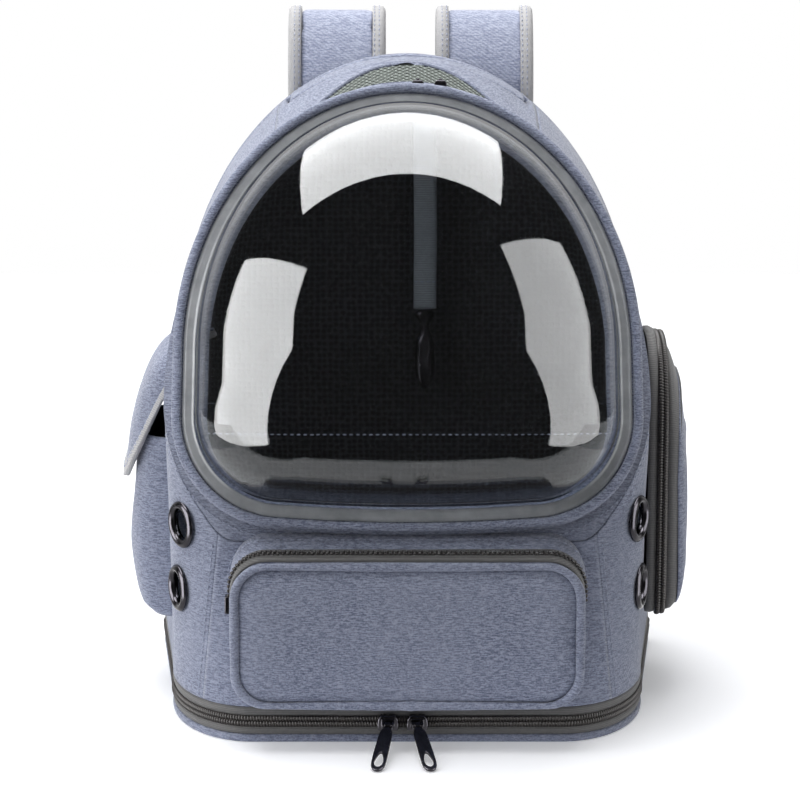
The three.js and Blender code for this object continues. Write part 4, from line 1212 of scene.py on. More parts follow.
def pocket_stitches(name, grow, depth, low, outward_way, long=3.2, piece_count=620):
    """Lock stitch round the pocket, above a height."""
    ring = pocket_ring(grow, depth, piece_count)
    following = pocket_ring(grow + 1, depth, piece_count)
    pairs = [(a, (b - a).normalized()) for a, b in zip(ring, following) if a.z > low]
    ways = [o * outward_way[0] + Vector((0, outward_way[1], 0)) for _, o in pairs]
    return stitches(name, [a for a, _ in pairs], ways,
                    long=long)


pocket_stitches("front_pocket_stitches", 2.2, TAPE_FAR + 3.4, ZIP_END - 6, (1, 0))


# The left pocket: an open pouch of body cloth, hemmed at its mouth, for a bottle.
LEFT_ROOT = -140
LEFT_SIZE = {"y": 20, "foot": 57, "tall": 125, "bulge": 28.5, "half": 52, "exponent": 0.55}
LEFT_ROWS = ((0, 0.526, 0.885), (0.056, 0.772, 0.942), (0.232, 0.947, 0.98), (0.44, 1, 1),
             (0.776, 0.877, 1), (1, 0.737, 1))


def eased(rows, t, column):
    """A column of a table read smoothly at a share of its first column."""
    rows = sorted(rows)
    if t <= rows[0][0]:
        return rows[0][column]
    for i in range(len(rows) - 1):
        if t <= rows[i + 1][0]:
            a, b = rows[i], rows[i + 1]
            before, after = rows[max(0, i - 1)], rows[min(len(rows) - 1, i + 2)]
            s = (t - a[0]) / (b[0] - a[0])
            wide = b[0] - a[0]
            m0 = (b[column] - before[column]) / max(1e-6, b[0] - before[0]) * wide
            m1 = (after[column] - a[column]) / max(1e-6, after[0] - a[0]) * wide
            return ((2 * s ** 3 - 3 * s ** 2 + 1) * a[column] + (s ** 3 - 2 * s ** 2 + s) * m0
                    + (-2 * s ** 3 + 3 * s ** 2) * b[column] + (s ** 3 - s ** 2) * m1)
    return rows[-1][column]


def side_loop(x_root, centre_y, out, half, exponent, z, count=60):
    """Half a loop of a side pocket at a height, from the wall in front round to the back."""
    line = []
    for i in range(count + 1):
        angle = math.pi * i / count
        c, s = math.cos(angle), math.sin(angle)
        y = centre_y - half * math.copysign(abs(c) ** exponent, c)
        x = x_root - out * abs(s) ** exponent
        line.append((x, y, z))
    return line


left_rows = []
for k in range(61):
    t = k / 60
    z = LEFT_SIZE["foot"] + LEFT_SIZE["tall"] * t
    out = SIDE - 140 + LEFT_SIZE["bulge"] * eased(LEFT_ROWS, t, 1)
    half = LEFT_SIZE["half"] * eased(LEFT_ROWS, t, 2)
    loop = spaced(side_loop(LEFT_ROOT, LEFT_SIZE["y"], out, half, LEFT_SIZE["exponent"], z), 160)
    row = []
    for p in loop:
        q = Vector(p)
        pull = 1.4 * noise.noise(Vector((q.y * 0.03, q.z * 0.02, 3.0)))
        pull += 0.5 * noise.noise(Vector((q.y * 0.11, q.z * 0.03, 9.0)))
        q.x += pull * (0.4 + 0.6 * math.sin(math.pi * min(1, t * 1.05)))
        row.append(q)
    left_rows.append(row)
left_pocket = sheet_from("left_pocket_cloth", left_rows, True, thick=2.0, size=0.25)
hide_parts("left_pocket")
left_foot = left_rows[0]
foot_points = [Vector(p) for p in left_foot] + [Vector((LEFT_ROOT, p.y, p.z + 1)) for p in left_foot]
foot_faces = [(i, i + 160, i + 161, i + 1) for i in range(159)]
left_floor = made("left_pocket_floor", foot_points, foot_faces, [CLOTH, LINING])
floor_wall = left_floor.modifiers.new("lining", "SOLIDIFY")
floor_wall.thickness = 0.002
floor_wall.offset = 1
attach(left_floor, "bag")
left_hem = [Vector(p) + Vector((-0.35, 0, 0)) for p in left_rows[-4]]
stitches("left_hem_stitches", left_hem, [Vector((-1, (p.y - 20) / 60, 0)).normalized() for p in left_hem])


# The flap over it: one shaped piece sewn to the wall, its slanting edge bound in grey tape.
FLAP_SIZE = {"foot": 120, "tall": 127, "bulge": 35, "half": 56}
FLAP_ROWS = ((0.93, -0.03, 0.714), (0.905, 0.18, 0.88), (0.835, 0.40, 0.964), (0.701, 0.614, 0.991),
             (0.551, 0.771, 1), (0.41, 0.857, 1), (0.213, 0.957, 1), (0, 1, 1))
# The slanting edge: places across, from the wall outwards, and heights there.
FLAP_EDGE = ((-140, 237), (-147, 235), (-151.7, 231), (-156.3, 224),
             (-163, 213), (-169, 201), (-175, 188), (-210, 116))
BIND_WIDE = 6.4

# Bias binding: light grey polyester, a fine diagonal rib, soft.
BINDING = ribbed("bias_binding", "#c3c2c0", "#94949a", 0.9, axis="DIAGONAL", roughness=0.85)


def flap_edge(x):
    """Height of the flap's slanting edge at a place."""
    for (x_near, z_near), (x_far, z_far) in zip(FLAP_EDGE, FLAP_EDGE[1:]):
        if x >= x_far:
            return z_near + (z_far - z_near) * max(0, x_near - x) / (x_near - x_far)
    return FLAP_EDGE[-1][1]


def flap_place(t):
    """A loop round the flap at a height given as a share."""
    z = FLAP_SIZE["foot"] + FLAP_SIZE["tall"] * min(t, FLAP_ROWS[0][0])
    out = SIDE - 140 + FLAP_SIZE["bulge"] * eased(FLAP_ROWS, t, 1)
    half = FLAP_SIZE["half"] * eased(FLAP_ROWS, t, 2)
    return side_loop(LEFT_ROOT, 20, out, half, 0.55, z)


def flap_columns(low_drop, high_drop, count=180, rows=60):
    """Columns of the flap from its top down to a drop below the slanting edge."""
    loops = [spaced(flap_place(k / 240), count) for k in range(241)]
    columns = []
    for c in range(count):
        line = [loop[c] for loop in loops]
        kept = [p for p in line if flap_edge(p.x) - low_drop <= p.z
                and (not high_drop or p.z <= flap_edge(p.x) - high_drop)]
        if len(kept) < 2:
            kept = [line[-1], line[-1] + Vector((0, 0, 0.1))]
        columns.append(spaced(list(reversed(kept)), rows))
    return columns


def soften(p, size=1.0):
    """The flap's own unevenness, at the same places for cloth and binding."""
    return size * (1.5 * noise.noise(Vector((p.y * 0.025, p.z * 0.022, 7.0))) + 0.5)


def flap_piece(name, columns, material, push, thick):
    """A curved piece of the flap from its columns, pushed off the shell by a distance."""
    rows = len(columns[0])
    points = []
    for c, column in enumerate(columns):
        for r, p in enumerate(column):
            near = columns[min(c + 1, len(columns) - 1)][r] - columns[max(c - 1, 0)][r]
            out = Vector((near.y, -near.x, 0))
            out = -out.normalized() if out.length > 1e-6 else Vector((-1, 0, 0))
            if out.x > 0 and c not in (0, len(columns) - 1):
                out = -out
            points.append(p + out * push + Vector((soften(p), 0, 0)))
    faces = [(c * rows + r, (c + 1) * rows + r, (c + 1) * rows + r + 1, c * rows + r + 1)
             for c in range(len(columns) - 1) for r in range(rows - 1)]
    piece = made(name, points, faces, [material, LINING] if material is CLOTH else [material])
    if sum(f.normal.x for f in piece.data.polygons) > 0:
        piece.data.flip_normals()
    wall = piece.modifiers.new("thickness", "SOLIDIFY")
    wall.thickness = thick * 0.001
    wall.offset = -1
    wall.material_offset = 1 if material is CLOTH else 0
    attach(piece, "bag")
    return piece


flap_all = flap_columns(2, 0)
left_flap = flap_piece("left_flap_cloth", flap_all, CLOTH, 0.0, 2.0)
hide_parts("left_flap")
bind_columns = flap_columns(BIND_WIDE, -0.4, rows=8)
left_bind = flap_piece("left_flap_edge", bind_columns, BINDING, 0.9, 3.6)
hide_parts("left_flap_binding")
bind_line = [column[1] for column in flap_columns(BIND_WIDE, 0.9, rows=8)]
bind_line = [p + Vector((-1.1 + soften(p), 0, 0)) for p in bind_line if -p.x > 150]
stitches("flap_edge_stitches", bind_line,
         [Vector((-1, (p.y - 20) / 60, 0.2)).normalized() for p in bind_line])


# The right pocket: a moulded case of the body cloth that opens by a zip round its edge. Seen
# from the side it is an arch, and it narrows outwards like a loaf.
RIGHT_SIZE = {"y": 22, "foot": 58, "tall": 188, "half": 50, "arch": 52, "bulge": 29}
# Rows: distance out as a share of the bulge; top and foot as shares of the height; half-width.
RIGHT_ROWS = ((-0.276, 1, 0, 1), (0.276, 0.989, 0, 1), (0.517, 0.952, 0.005, 1), (0.759, 0.872, 0.027, 0.97),
              (0.897, 0.782, 0.064, 0.92), (1, 0.67, 0.138, 0.8))


def right_ring(x, grow, count=320, slack=0.0):
    """The case's outline at a distance out, evenly spaced, a little uneven."""
    share = (x - SIDE) / RIGHT_SIZE["bulge"]
    top = RIGHT_SIZE["foot"] + RIGHT_SIZE["tall"] * eased(RIGHT_ROWS, share, 1) + grow
    foot = RIGHT_SIZE["foot"] + RIGHT_SIZE["tall"] * eased(RIGHT_ROWS, share, 2) - grow
    half = RIGHT_SIZE["half"] * eased(RIGHT_ROWS, share, 3) + grow
    arch = RIGHT_SIZE["arch"] + grow
    line = [(0, foot)]
    for i in range(13):
        angle = math.pi / 2 * i / 12
        line.append((half - 14 + 14 * math.sin(angle), foot + 14 - 14 * math.cos(angle)))
    for i in range(31):
        angle = math.pi / 2 * i / 30
        line.append((half * math.cos(angle) ** 0.8, top - arch + arch * math.sin(angle) ** 0.8))
    line += [(-y, z) for y, z in reversed(line[1:-1])]
    ring = []
    for p in spaced([(y, z, 0) for y, z in line], count, closed=True):
        wave = slack * noise.noise(Vector((p.x * 0.03, p.y * 0.03, x * 0.05)))
        ring.append(Vector((x + wave, RIGHT_SIZE["y"] + p.x, p.y)))
    return ring


def right_skin(name, profile, material, cap=False, slack=0.3):
    """A band of the case from pairs of distance out and growth, perhaps closed by a face."""
    rows = [right_ring(x, grow, slack=slack) for x, grow in profile]
    points = [p for row in rows for p in row]
    faces = []
    for r in range(len(rows) - 1):
        for i in range(320):
            j = (i + 1) % 320
            faces.append((r * 320 + i, r * 320 + j, (r + 1) * 320 + j, (r + 1) * 320 + i))
    if cap:
        heart = Vector((0, RIGHT_SIZE["y"], 148))
        for k in range(1, 16):
            share = 1 - k / 16
            for p in rows[-1]:
                core = heart + Vector((0, 0, max(-30, min(30, p.z - heart.z))))
                q = core + (p - core) * share
                q.x = 187.0 + 1.6 * (1 - share ** 3) + slack * 2 * noise.noise(q * 0.02)
                points.append(q)
        for r in range(len(rows) - 1, len(rows) + 14):
            for i in range(320):
                j = (i + 1) % 320
                faces.append((r * 320 + i, r * 320 + j, (r + 1) * 320 + j, (r + 1) * 320 + i))
        last = len(points) - 320
        for i in range(1, 160):
            faces.append((last + i, last + i + 1 if i < 159 else last + 160,
                          last + (320 - i - 1), last + 320 - i))
        faces.append((last, last + 1, last + 319))
    piece = made(name, points, faces, material)
    outward(piece)
    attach(piece, "bag")
    return piece


def band_profile(near, far, out=0.0, deep=2.4):
    """A closed profile of a band between two distances, bulging out a little."""
    return [(near, -deep), (near, -0.2), ((near + far) / 2, out), (far, -0.2), (far, -deep), (near, -deep)]


right_inner = right_skin("right_case_tape_in", band_profile(160.2, 166.1, 0.4, 3), TAPE)
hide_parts("right_pocket_inner_tape")
right_bed = right_skin("right_case_zip_bed", band_profile(166.2, 173.6, 0.2, 2.6), COIL)
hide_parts("right_pocket_coil")
right_outer = right_skin("right_case_tape_out", band_profile(173.7, 180.7, 0.3, 3), TAPE)
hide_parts("right_pocket_outer_tape")
right_zip = right_ring(169.9, 0.6, 540)
right_outs = []
for i, p in enumerate(right_zip):
    run = right_zip[(i + 1) % 540] - right_zip[i - 1]
    right_outs.append(Vector((0.3, run.z, -run.y)).normalized())
right_coil = coil("right_case_coil", right_zip, right_outs, 6.8, True)
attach(right_coil, "bag")
right_face = right_skin("right_case_face", [(180.9, -2.4), (180.8, 0.2), (181.6, 0.6), (182.6, 0.5),
                                            (183.6, 0.4), (184.6, 0.4), (185.6, 0.4), (186.4, 0.3),
                                            (186.9, 0)],
                        [CLOTH, LINING], cap=True, slack=0.8)
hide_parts("right_pocket_face")
right_wall = right_face.modifiers.new("lining", "SOLIDIFY")
right_wall.thickness = 0.002
right_wall.offset = -1
right_wall.material_offset = 1


# The shoulder straps: foam pads in body cloth with bound edges, sewn to the back panel's top.
# They loop up over it and down behind, and each hangs a lock with webbing to the base.
STRAP = {"wide": 67, "edge": 8.7, "bound": 9.8, "reach": 63.4, "foot": 178, "crest": 442.5}
STRAP_ROWS = ((0, 0.658), (0, 0.794), (0.07, 0.885), (0.227, 0.96), (0.432, 1), (0.653, 0.994),
              (0.842, 0.949), (0.953, 0.87), (1, 0.733), (0.968, 0.537), (0.874, 0.318), (0.748, 0.129),
              (0.621, 0))
STRAPS = {"left": (-48.5, -1), "right": (54, 1)}
STRAP_STEPS = 150


def smooth_line(points, count):
    """A smooth curve through points, evenly spaced."""
    out = []
    for i in range(len(points) - 1):
        a, b = points[i], points[i + 1]
        before = points[i - 1] if i else a + (a - b)
        after = points[i + 2] if i + 2 < len(points) else b + (b - a)
        for k in range(12):
            t = k / 12
            out.append(0.5 * (2 * a + (b - before) * t + (2 * before - 5 * a + 4 * b - after) * t * t
                              + (3 * a - before - 3 * b + after) * t ** 3))
    out.append(points[-1])
    return spaced(out, count)


strap_line = smooth_line([
    Vector((0, 117.3 + STRAP["bound"] / 2 + 0.4 + out * STRAP["reach"],
            STRAP["foot"] + up * (STRAP["crest"] - STRAP["foot"]))) for out, up in STRAP_ROWS], STRAP_STEPS)


def strap_frame(i):
    """The strap's place and its outward way at a step."""
    run = (strap_line[min(STRAP_STEPS - 1, i + 1)] - strap_line[max(0, i - 1)]).normalized()
    return strap_line[i], Vector((0, run.z, -run.y)), run


def strap_solid(name, x, profile, material):
    """A body along the strap; its profile is pairs across the strap and through it."""
    sections = []
    for i in range(STRAP_STEPS):
        p, out, run = strap_frame(i)
        sections.append([Vector((x + a, p.y, p.z)) + out * b for a, b in profile])
    return swept(name, sections, material, round_path=False, caps=True)


# The same woven polyester, painted lighter for the straps: a painted light that stands for the light from
# above that falls on them.
LIT_STRAP_CLOTH = melange("woven_polyester_painted_lighter", "#adb3c8", "#757d98", "#a9afc2")
for label, (x, sign) in STRAPS.items():
    inner = STRAP["wide"] / 2 - STRAP["edge"]
    outer = STRAP["wide"] / 2
    # The pad, swollen by its foam and held flat under the bindings.
    # Its cloth is the lighter copy, painted light for the light from above on the straps.
    pad = strap_solid("strap_pad_" + label, x, [
        (-inner - 2, -2.4), (inner + 2, -2.4), (inner + 2, 0), (inner + 2, 2.4), (-inner - 2, 2.4),
        (-inner - 2, 0)], LIT_STRAP_CLOTH)
    puffed(pad, 3.6, 3.2)
    for v in pad.data.vertices:
        q = v.co * 1000
        v.co.x += 0.0003 * noise.noise(q * 0.03)
    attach(pad, "bag")
    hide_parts("strap_" + label)
    for end, way in (("a", -1), ("b", 1)):
        edge = strap_solid("strap_edge_" + label + "_" + end, x, [
            (way * inner, -4.3), (way * (inner + 5), -4.5), (way * (outer - 1.2), -3.9), (way * outer, -2.2),
            (way * (outer + 0.3), 0), (way * outer, 2.2), (way * (outer - 1.2), 3.9),
            (way * (inner + 5), 4.5),
            (way * inner, 4.3)], BINDING)
        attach(edge, "bag")
        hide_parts("strap_%s_binding_%s" % (label, end))
        for face in (1, -1):
            for row, offset in (("near", 1.3), ("mid", 4.6)):
                line, outs = [], []
                for i in range(STRAP_STEPS):
                    p, out, run = strap_frame(i)
                    line.append(Vector((x + way * (inner + offset), p.y, p.z)) + out * face * 4.45)
                    outs.append(out * face)
                row_name = "_".join((label, end, row, "top" if face > 0 else "under"))
                stitches("strap_stitches_" + row_name, line, outs,
                         long=2.6, gap=1.2, wide=0.8)


# The locks and webbing: moulded acetal ladder locks, polypropylene webbing 25 mm wide, and
# triangular cloth tabs sewn in at the base's corners.

# Moulded acetal: black, satin, with a fine spark-eroded texture.
ACETAL, acetal_tree, acetal_main = finish("moulded_acetal", Roughness=0.42, IOR=1.48)
acetal_spot = add(acetal_tree, "ShaderNodeTexCoord").outputs["Object"]
acetal_grit = add(acetal_tree, "ShaderNodeTexNoise", {"Vector": acetal_spot, "Scale": 900.0, "Detail": 2.0})
acetal_tone = add(acetal_tree, "ShaderNodeMix", {
    "Factor": acetal_grit, "A": linear("#141416"), "B": linear("#26262a")}, data_type="RGBA")
acetal_tree.links.new(acetal_tone.outputs[2], acetal_main.inputs["Base Color"])
acetal_bump = add(acetal_tree, "ShaderNodeBump", {"Height": acetal_grit, "Strength": 0.2, "Distance": 0.0001})
acetal_tree.links.new(acetal_bump.outputs["Normal"], acetal_main.inputs["Normal"])

# Polypropylene webbing: dark grey, ribbed across every 1.6 mm, slightly glossy.
WEBBING = ribbed("polypropylene_webbing", "#63676d", "#34373c", 1.6, axis="Z", roughness=0.6)

for label, (x, sign) in STRAPS.items():
    foot = strap_line[-1]
    start = Vector((x, foot.y - 0.5, foot.z - 5))
    stop = Vector((sign * 118, 123, 62))
    along = (stop - start).normalized()
    across = (Vector((1, 0, 0)) - along * along.x).normalized()
    out = along.cross(across).normalized()
    span = (stop - start).length

    def lock_bar(name, near, far, left, right, thick, material, round_edge=1.0):
        """A bar of the lock between distances along and across, its edges rounded."""
        rings = []
        steps = ((near, round_edge), (near + round_edge, 0), (far - round_edge, 0), (far, round_edge))
        for d, shrink in steps:
            ring = []
            for a, b in ((left + shrink, -thick + shrink), (right - shrink, -thick + shrink),
                         (right - shrink * 0.3, 0), (right - shrink, thick - shrink),
                         (left + shrink, thick - shrink), (left + shrink * 0.3, 0)):
                ring.append(start + along * d + across * a + out * b)
            rings.append(ring)
        return swept(name, rings, material, round_path=False, caps=True)

    bars = [lock_bar("lock", 8, 11.5, -17, 17, 3, ACETAL), lock_bar("lock", 15.5, 19, -17, 17, 2.4, ACETAL),
            lock_bar("lock", 24.2, 28, -17, 17, 3, ACETAL), lock_bar("lock", 8, 28, -17, -13.2, 3, ACETAL),
            lock_bar("lock", 8, 28, 13.2, 17, 3, ACETAL)]
    joined = bmesh.new()
    for bar in bars:
        joined.from_mesh(bar.data)
        bpy.data.objects.remove(bar)
    lock_mesh = bpy.data.meshes.new("strap_lock")
    joined.to_mesh(lock_mesh)
    joined.free()
    lock_mesh.materials.append(ACETAL)
    lock = bpy.data.objects.new("ladder_lock_" + label, lock_mesh)
    bpy.context.scene.collection.objects.link(lock)
    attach(lock, "bag")
    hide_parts("strap_lock_" + label)

    web_rows = []
    for k in range(80):
        t = k / 79
        d = 12 + (span - 12.3) * t
        middle = start + along * d
        middle += out * (1.2 * math.sin(t * 9) * math.sin(math.pi * t)) + across * 0.8 * math.sin(t * 5)
        web_rows.append([middle + across * a + out * b for a, b in (
            (-12.5, 0), (-11.8, -0.9), (0, -1.05), (11.8, -0.9),
            (12.5, 0), (11.8, 0.9), (0, 1.05), (-11.8, 0.9))])
    web = swept("strap_web_" + label, web_rows, WEBBING, round_path=False, caps=True)
    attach(web, "bag")
    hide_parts("strap_webbing_" + label)
    # A short web loop joins the pad's end to the lock.
    loop_rows = []
    for k in range(20):
        middle = start + along * (-8 + 21 * k / 19)
        loop_rows.append([middle + across * a + out * (b + 0.2) for a, b in (
            (-12, 0), (-11.4, -0.8), (11.4, -0.8), (12, 0), (11.4, 0.8), (-11.4, 0.8))])
    loop = swept("strap_loop_" + label, loop_rows, WEBBING, round_path=False, caps=True)
    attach(loop, "bag")

    tab_outline = [(sign * a, z) for a, z in ((92, 34), (144, 34), (134, 62), (104, 66))]
    tab_rows = []
    for y, shrink in ((117.3, 1.5), (118, 0), (121, -0.3), (124.2, 1.0)):
        ring = []
        centre = Vector((sign * 118, 0, 49))
        for i, (a, z) in enumerate(tab_outline):
            n = tab_outline[(i + 1) % 4]
            for k in range(10):
                spot = Vector((a + (n[0] - a) * k / 10, y, z + (n[1] - z) * k / 10))
                ring.append(spot + (Vector((centre.x, y, centre.z)) - spot).normalized() * shrink)
        tab_rows.append(ring)
    tab = swept("strap_tab_cloth_" + label, tab_rows, CLOTH, round_path=False, caps=True)
    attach(tab, "bag")
    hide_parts("strap_tab_" + label)
    cross = []
    for a, b in (((100, 38), (136, 38)), ((136, 38), (129, 58)),
                 ((129, 58), (108, 61)), ((108, 61), (100, 38)),
                 ((100, 38), (129, 58)), ((136, 38), (108, 61))):
        cross += spaced([(sign * a[0], 124.3, a[1]), (sign * b[0], 124.3, b[1])], 10)
    stitches("tab_stitches_" + label, cross, [Vector((0, 1, 0))] * len(cross))


# The leash: webbing 16 mm wide sewn in under the roll, with its end folded back and stitched,
# and a snap clip on it so that the animal can't jump out.
LEASH = {"x": 12.5, "y": 81, "half": 7.8, "end": 247, "top": 411}
leash_rows = []
for k in range(60):
    t = k / 59
    z = LEASH["end"] + (LEASH["top"] - LEASH["end"]) * t
    sway = 0.8 * math.sin(t * 6) * math.sin(math.pi * t)
    thick = 1.0 if t > 0.12 else 2.0
    leash_rows.append([Vector((LEASH["x"] + a + sway * 0.4, LEASH["y"] + sway + b * thick, z)) for a, b in (
        (-7.8, 0), (-7.2, -0.9), (0, -1), (7.2, -0.9), (7.8, 0), (7.2, 0.9), (0, 1), (-7.2, 0.9))])
# Polyester webbing in a lighter grey than the straps' own.
LEASH_WEB = ribbed("polyester_leash_webbing", "#a3a8b0", "#70757d", 1.6, axis="Z", roughness=0.6)
leash = swept("leash_web", leash_rows, LEASH_WEB, round_path=False, caps=True)
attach(leash, "bag")
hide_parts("leash")
fold = [Vector((LEASH["x"] + a, LEASH["y"] - 2.2, 266)) for a in (-6, -3, 0, 3, 6)]
stitches("leash_stitches", fold, [Vector((0, -1, 0))] * 5, long=2.2, gap=0.8)
CLIP = ((0, 3.0, 3), (-3, 6.6, 3), (-5, 7, 3), (-7.5, 4, 2.6), (-10, 2.8, 2.4), (-15, 2.8, 2.4),
        (-18, 4.2, 2.6),
        (-22, 6.2, 3), (-30, 6.8, 3), (-42, 7, 3), (-48, 6, 2.8), (-53, 3.6, 2.4), (-55.7, 1.2, 1.4))
clip_rows = []
for z, wide, deep in CLIP:
    ring = []
    for k in range(16):
        angle = 2 * math.pi * k / 16
        ring.append(Vector((LEASH["x"] + wide * math.cos(angle), LEASH["y"] + deep * math.sin(angle),
                            LEASH["end"] - 0.5 + z)))
    clip_rows.append(ring)
clip = swept("leash_snap", clip_rows, BLACK_NICKEL, round_path=False, caps=True)
clip_smooth = clip.modifiers.new("round", "SUBSURF")
clip_smooth.levels = clip_smooth.render_levels = 1
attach(clip, "bag")
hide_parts("leash_clip")


# The zip sliders: die-cast zinc, black nickel plated, each with a rounded back, a bridge over
# it and two cheeks. The pulls hang from the bridges of the two base sliders on an eye.
SLIDERS = {"left": (-12.5, -8), "right": (6.5, 10)}
HINGE_Y = -127.4
HINGE_Z = 14.55
PULL_PITCH = 14.7


def rounded(piece, width=0.35, segments=3):
    """Rounds the edges of a hard piece for good."""
    edge = piece.modifiers.new("edges", "BEVEL")
    edge.width = width * 0.001
    edge.segments = segments
    edge.limit_method = "ANGLE"
    edge.angle_limit = math.radians(32)
    bpy.context.view_layer.update()
    piece.data = bpy.data.meshes.new_from_object(piece.evaluated_get(bpy.context.evaluated_depsgraph_get()))
    piece.modifiers.clear()
    piece.data.polygons.foreach_set("use_smooth", [True] * len(piece.data.polygons))
    piece.data.set_sharp_from_angle(angle=math.radians(40))


def joined_piece(name, parts, material):
    """Several bodies kept as one mesh."""
    whole = bmesh.new()
    for part in parts:
        whole.from_mesh(part.data)
        bpy.data.objects.remove(part)
    mesh = bpy.data.meshes.new(name)
    whole.to_mesh(mesh)
    whole.free()
    mesh.materials.append(material)
    piece = bpy.data.objects.new(name, mesh)
    bpy.context.scene.collection.objects.link(piece)
    return piece


def slab(name, outline, low, high, place, material=None, holes=()):
    """A flat part from its outline between two heights, set by a function, with holes."""
    shape = bmesh.new()
    loops = [outline] + list(holes)
    edges = []
    for loop in loops:
        corners = [shape.verts.new((a, b, 0)) for a, b in loop]
        edges += [shape.edges.new((corners[i], corners[(i + 1) % len(corners)])) for i in range(len(corners))]
    bmesh.ops.triangle_fill(shape, edges=edges, use_beauty=True, use_dissolve=True)
    below = shape.faces[:]
    above = bmesh.ops.extrude_face_region(shape, geom=below)
    raised = {v for v in above["geom"] if isinstance(v, bmesh.types.BMVert)}
    for v in shape.verts:
        a, b = v.co.x, v.co.y
        v.co = Vector(place(a, b, high if v in raised else low)) * 0.001
    bmesh.ops.recalc_face_normals(shape, faces=shape.faces)
    mesh = bpy.data.meshes.new(name)
    shape.to_mesh(mesh)
    shape.free()
    mesh.materials.append(material or BLACK_NICKEL)
    piece = bpy.data.objects.new(name, mesh)
    bpy.context.scene.collection.objects.link(piece)
    return piece


def ring_of(radius, count=24, centre=(0, 0)):
    """A circle's points."""
    steps = [2 * math.pi * i / count for i in range(count)]
    return [(centre[0] + radius * math.cos(a), centre[1] + radius * math.sin(a)) for a in steps]


for label, (x, yaw) in SLIDERS.items():
    turn = math.radians(yaw)

    def local(pitch):
        """Places about the hinge: a runs forward, c up and b to the side."""
        def place(a, c, b):
            ahead = a * math.cos(pitch) + c * math.sin(pitch)
            lift = c * math.cos(pitch) - a * math.sin(pitch)
            return (x + ahead * math.sin(turn) + b * math.cos(turn),
                    HINGE_Y - ahead * math.cos(turn) + b * math.sin(turn), HINGE_Z + lift)
        return place

    level = local(0)
    face = [(-6.4, -4.8), (6.4, -4.8), (6.9, -1), (6.4, 2.9), (4.6, 5.4), (1.4, 5.5), (0, 4.5),
            (-1.4, 5.5), (-4.6, 5.4), (-6.4, 2.9), (-6.9, -1)]
    body = slab("slider_body", face, 0, 4.9, lambda a, b, h: (x + a, -119.1 - h, HINGE_Z + b))
    rounded(body, 0.9)
    groove = slab("slider_groove", [(-4.6, -3.2), (4.6, -3.2), (4.2, 3.4), (-4.2, 3.4)], 4.7, 5.5,
                  lambda a, b, h: (x + a, -119.1 - h, HINGE_Z + b))
    rounded(groove, 0.4)
    cheek = [(1.9, -1.2), (2.1, 0), (1.9, 1.2), (0.6, 2.1), (-2, 2.6), (-5, 2.9),
             (-5, -2.9), (-2, -2.6), (0.6, -2.1)]
    near = slab("cheek", cheek, 2.4, 3.7, level)
    far = slab("cheek", cheek, -3.7, -2.4, level)
    bridge = slab("bridge", ring_of(1.0, 16), -2.9, 2.9, level)
    for part in (near, far):
        rounded(part, 0.3)
    slider = joined_piece("base_zip_slider_" + label, [body, groove, near, far, bridge], BLACK_NICKEL)
    slider.data.polygons.foreach_set("use_smooth", [True] * len(slider.data.polygons))
    slider.data.set_sharp_from_angle(angle=math.radians(40))
    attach(slider, "bag")
    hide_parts("base_slider_" + label)
    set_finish(slider, "black_metal")

    tilted = local(math.radians(PULL_PITCH))
    blade = [(1.9, 2.0), (4.5, 2.6), (8, 4.0), (14, 4.4), (22, 4.6), (32, 4.8), (42, 4.8), (47, 4.4),
             (50.2, 3.1), (51.7, 1.4), (52, 0)]
    blade += [(a, -b) for a, b in reversed(blade[:-1])]
    hole = [(31.6, 0), (32.6, 0.9), (36, 1.8), (40, 2.6), (43, 2.8), (46, 2.2), (47.6, 1.0), (48, 0)]
    hole = hole + [(a, -b) for a, b in reversed(hole[1:-1])]
    blade_part = slab("blade", blade, -0.9, 0.9, lambda a, b, h: tilted(a, h, b), holes=[hole])
    rounded(blade_part, 0.45)
    eye = slab("eye", ring_of(2.4), -2.0, 2.0, lambda a, c, b: tilted(a, c, b), holes=[ring_of(1.35)])
    rounded(eye, 0.25)
    pull = joined_piece("zip_pull_" + label, [blade_part, eye], BLACK_NICKEL)
    pull.data.polygons.foreach_set("use_smooth", [True] * len(pull.data.polygons))
    pull.data.set_sharp_from_angle(angle=math.radians(40))
    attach(pull, "pull_" + label)
    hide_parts("base_pull_" + label)
    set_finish(pull, "black_metal")

# The small sliders: two parked on top of the dome, one at the front pocket's left end and one
# under the right pocket, each a plain body; the two on the dome also have a bridge.
TOP_ALONG = RIM_SPRING + RIM_RISE + 6.4
for label, s in (("left", 7), ("right", 22)):
    outline = [(-4, 0), (4, 0), (4.2, 1.4), (3, 3.7), (-3, 3.7), (-4.2, 1.4)]
    body = slab("body", outline, -9.4, -2.2, lambda a, b, h, s=s: rim_point(s + a, TOP_ALONG - 0.1 + b, h))
    rounded(body, 0.6)
    arch = [(-1.4, 3.0), (1.4, 3.0), (1.4, 4.6), (0.9, 5.2), (-0.9, 5.2), (-1.4, 4.6)]
    bridge = slab("bridge", arch, -7.6, -3.6,
                  lambda a, b, h, s=s: rim_point(s + a, TOP_ALONG - 0.1 + b, h))
    rounded(bridge, 0.4)
    small = joined_piece("dome_zip_slider_" + label, [body, bridge], BLACK_NICKEL)
    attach(small, "bag")
    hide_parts("dome_slider_" + label)
    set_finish(small, "black_metal")
    small.data.polygons.foreach_set("use_smooth", [True] * len(small.data.polygons))
    small.data.set_sharp_from_angle(angle=math.radians(40))

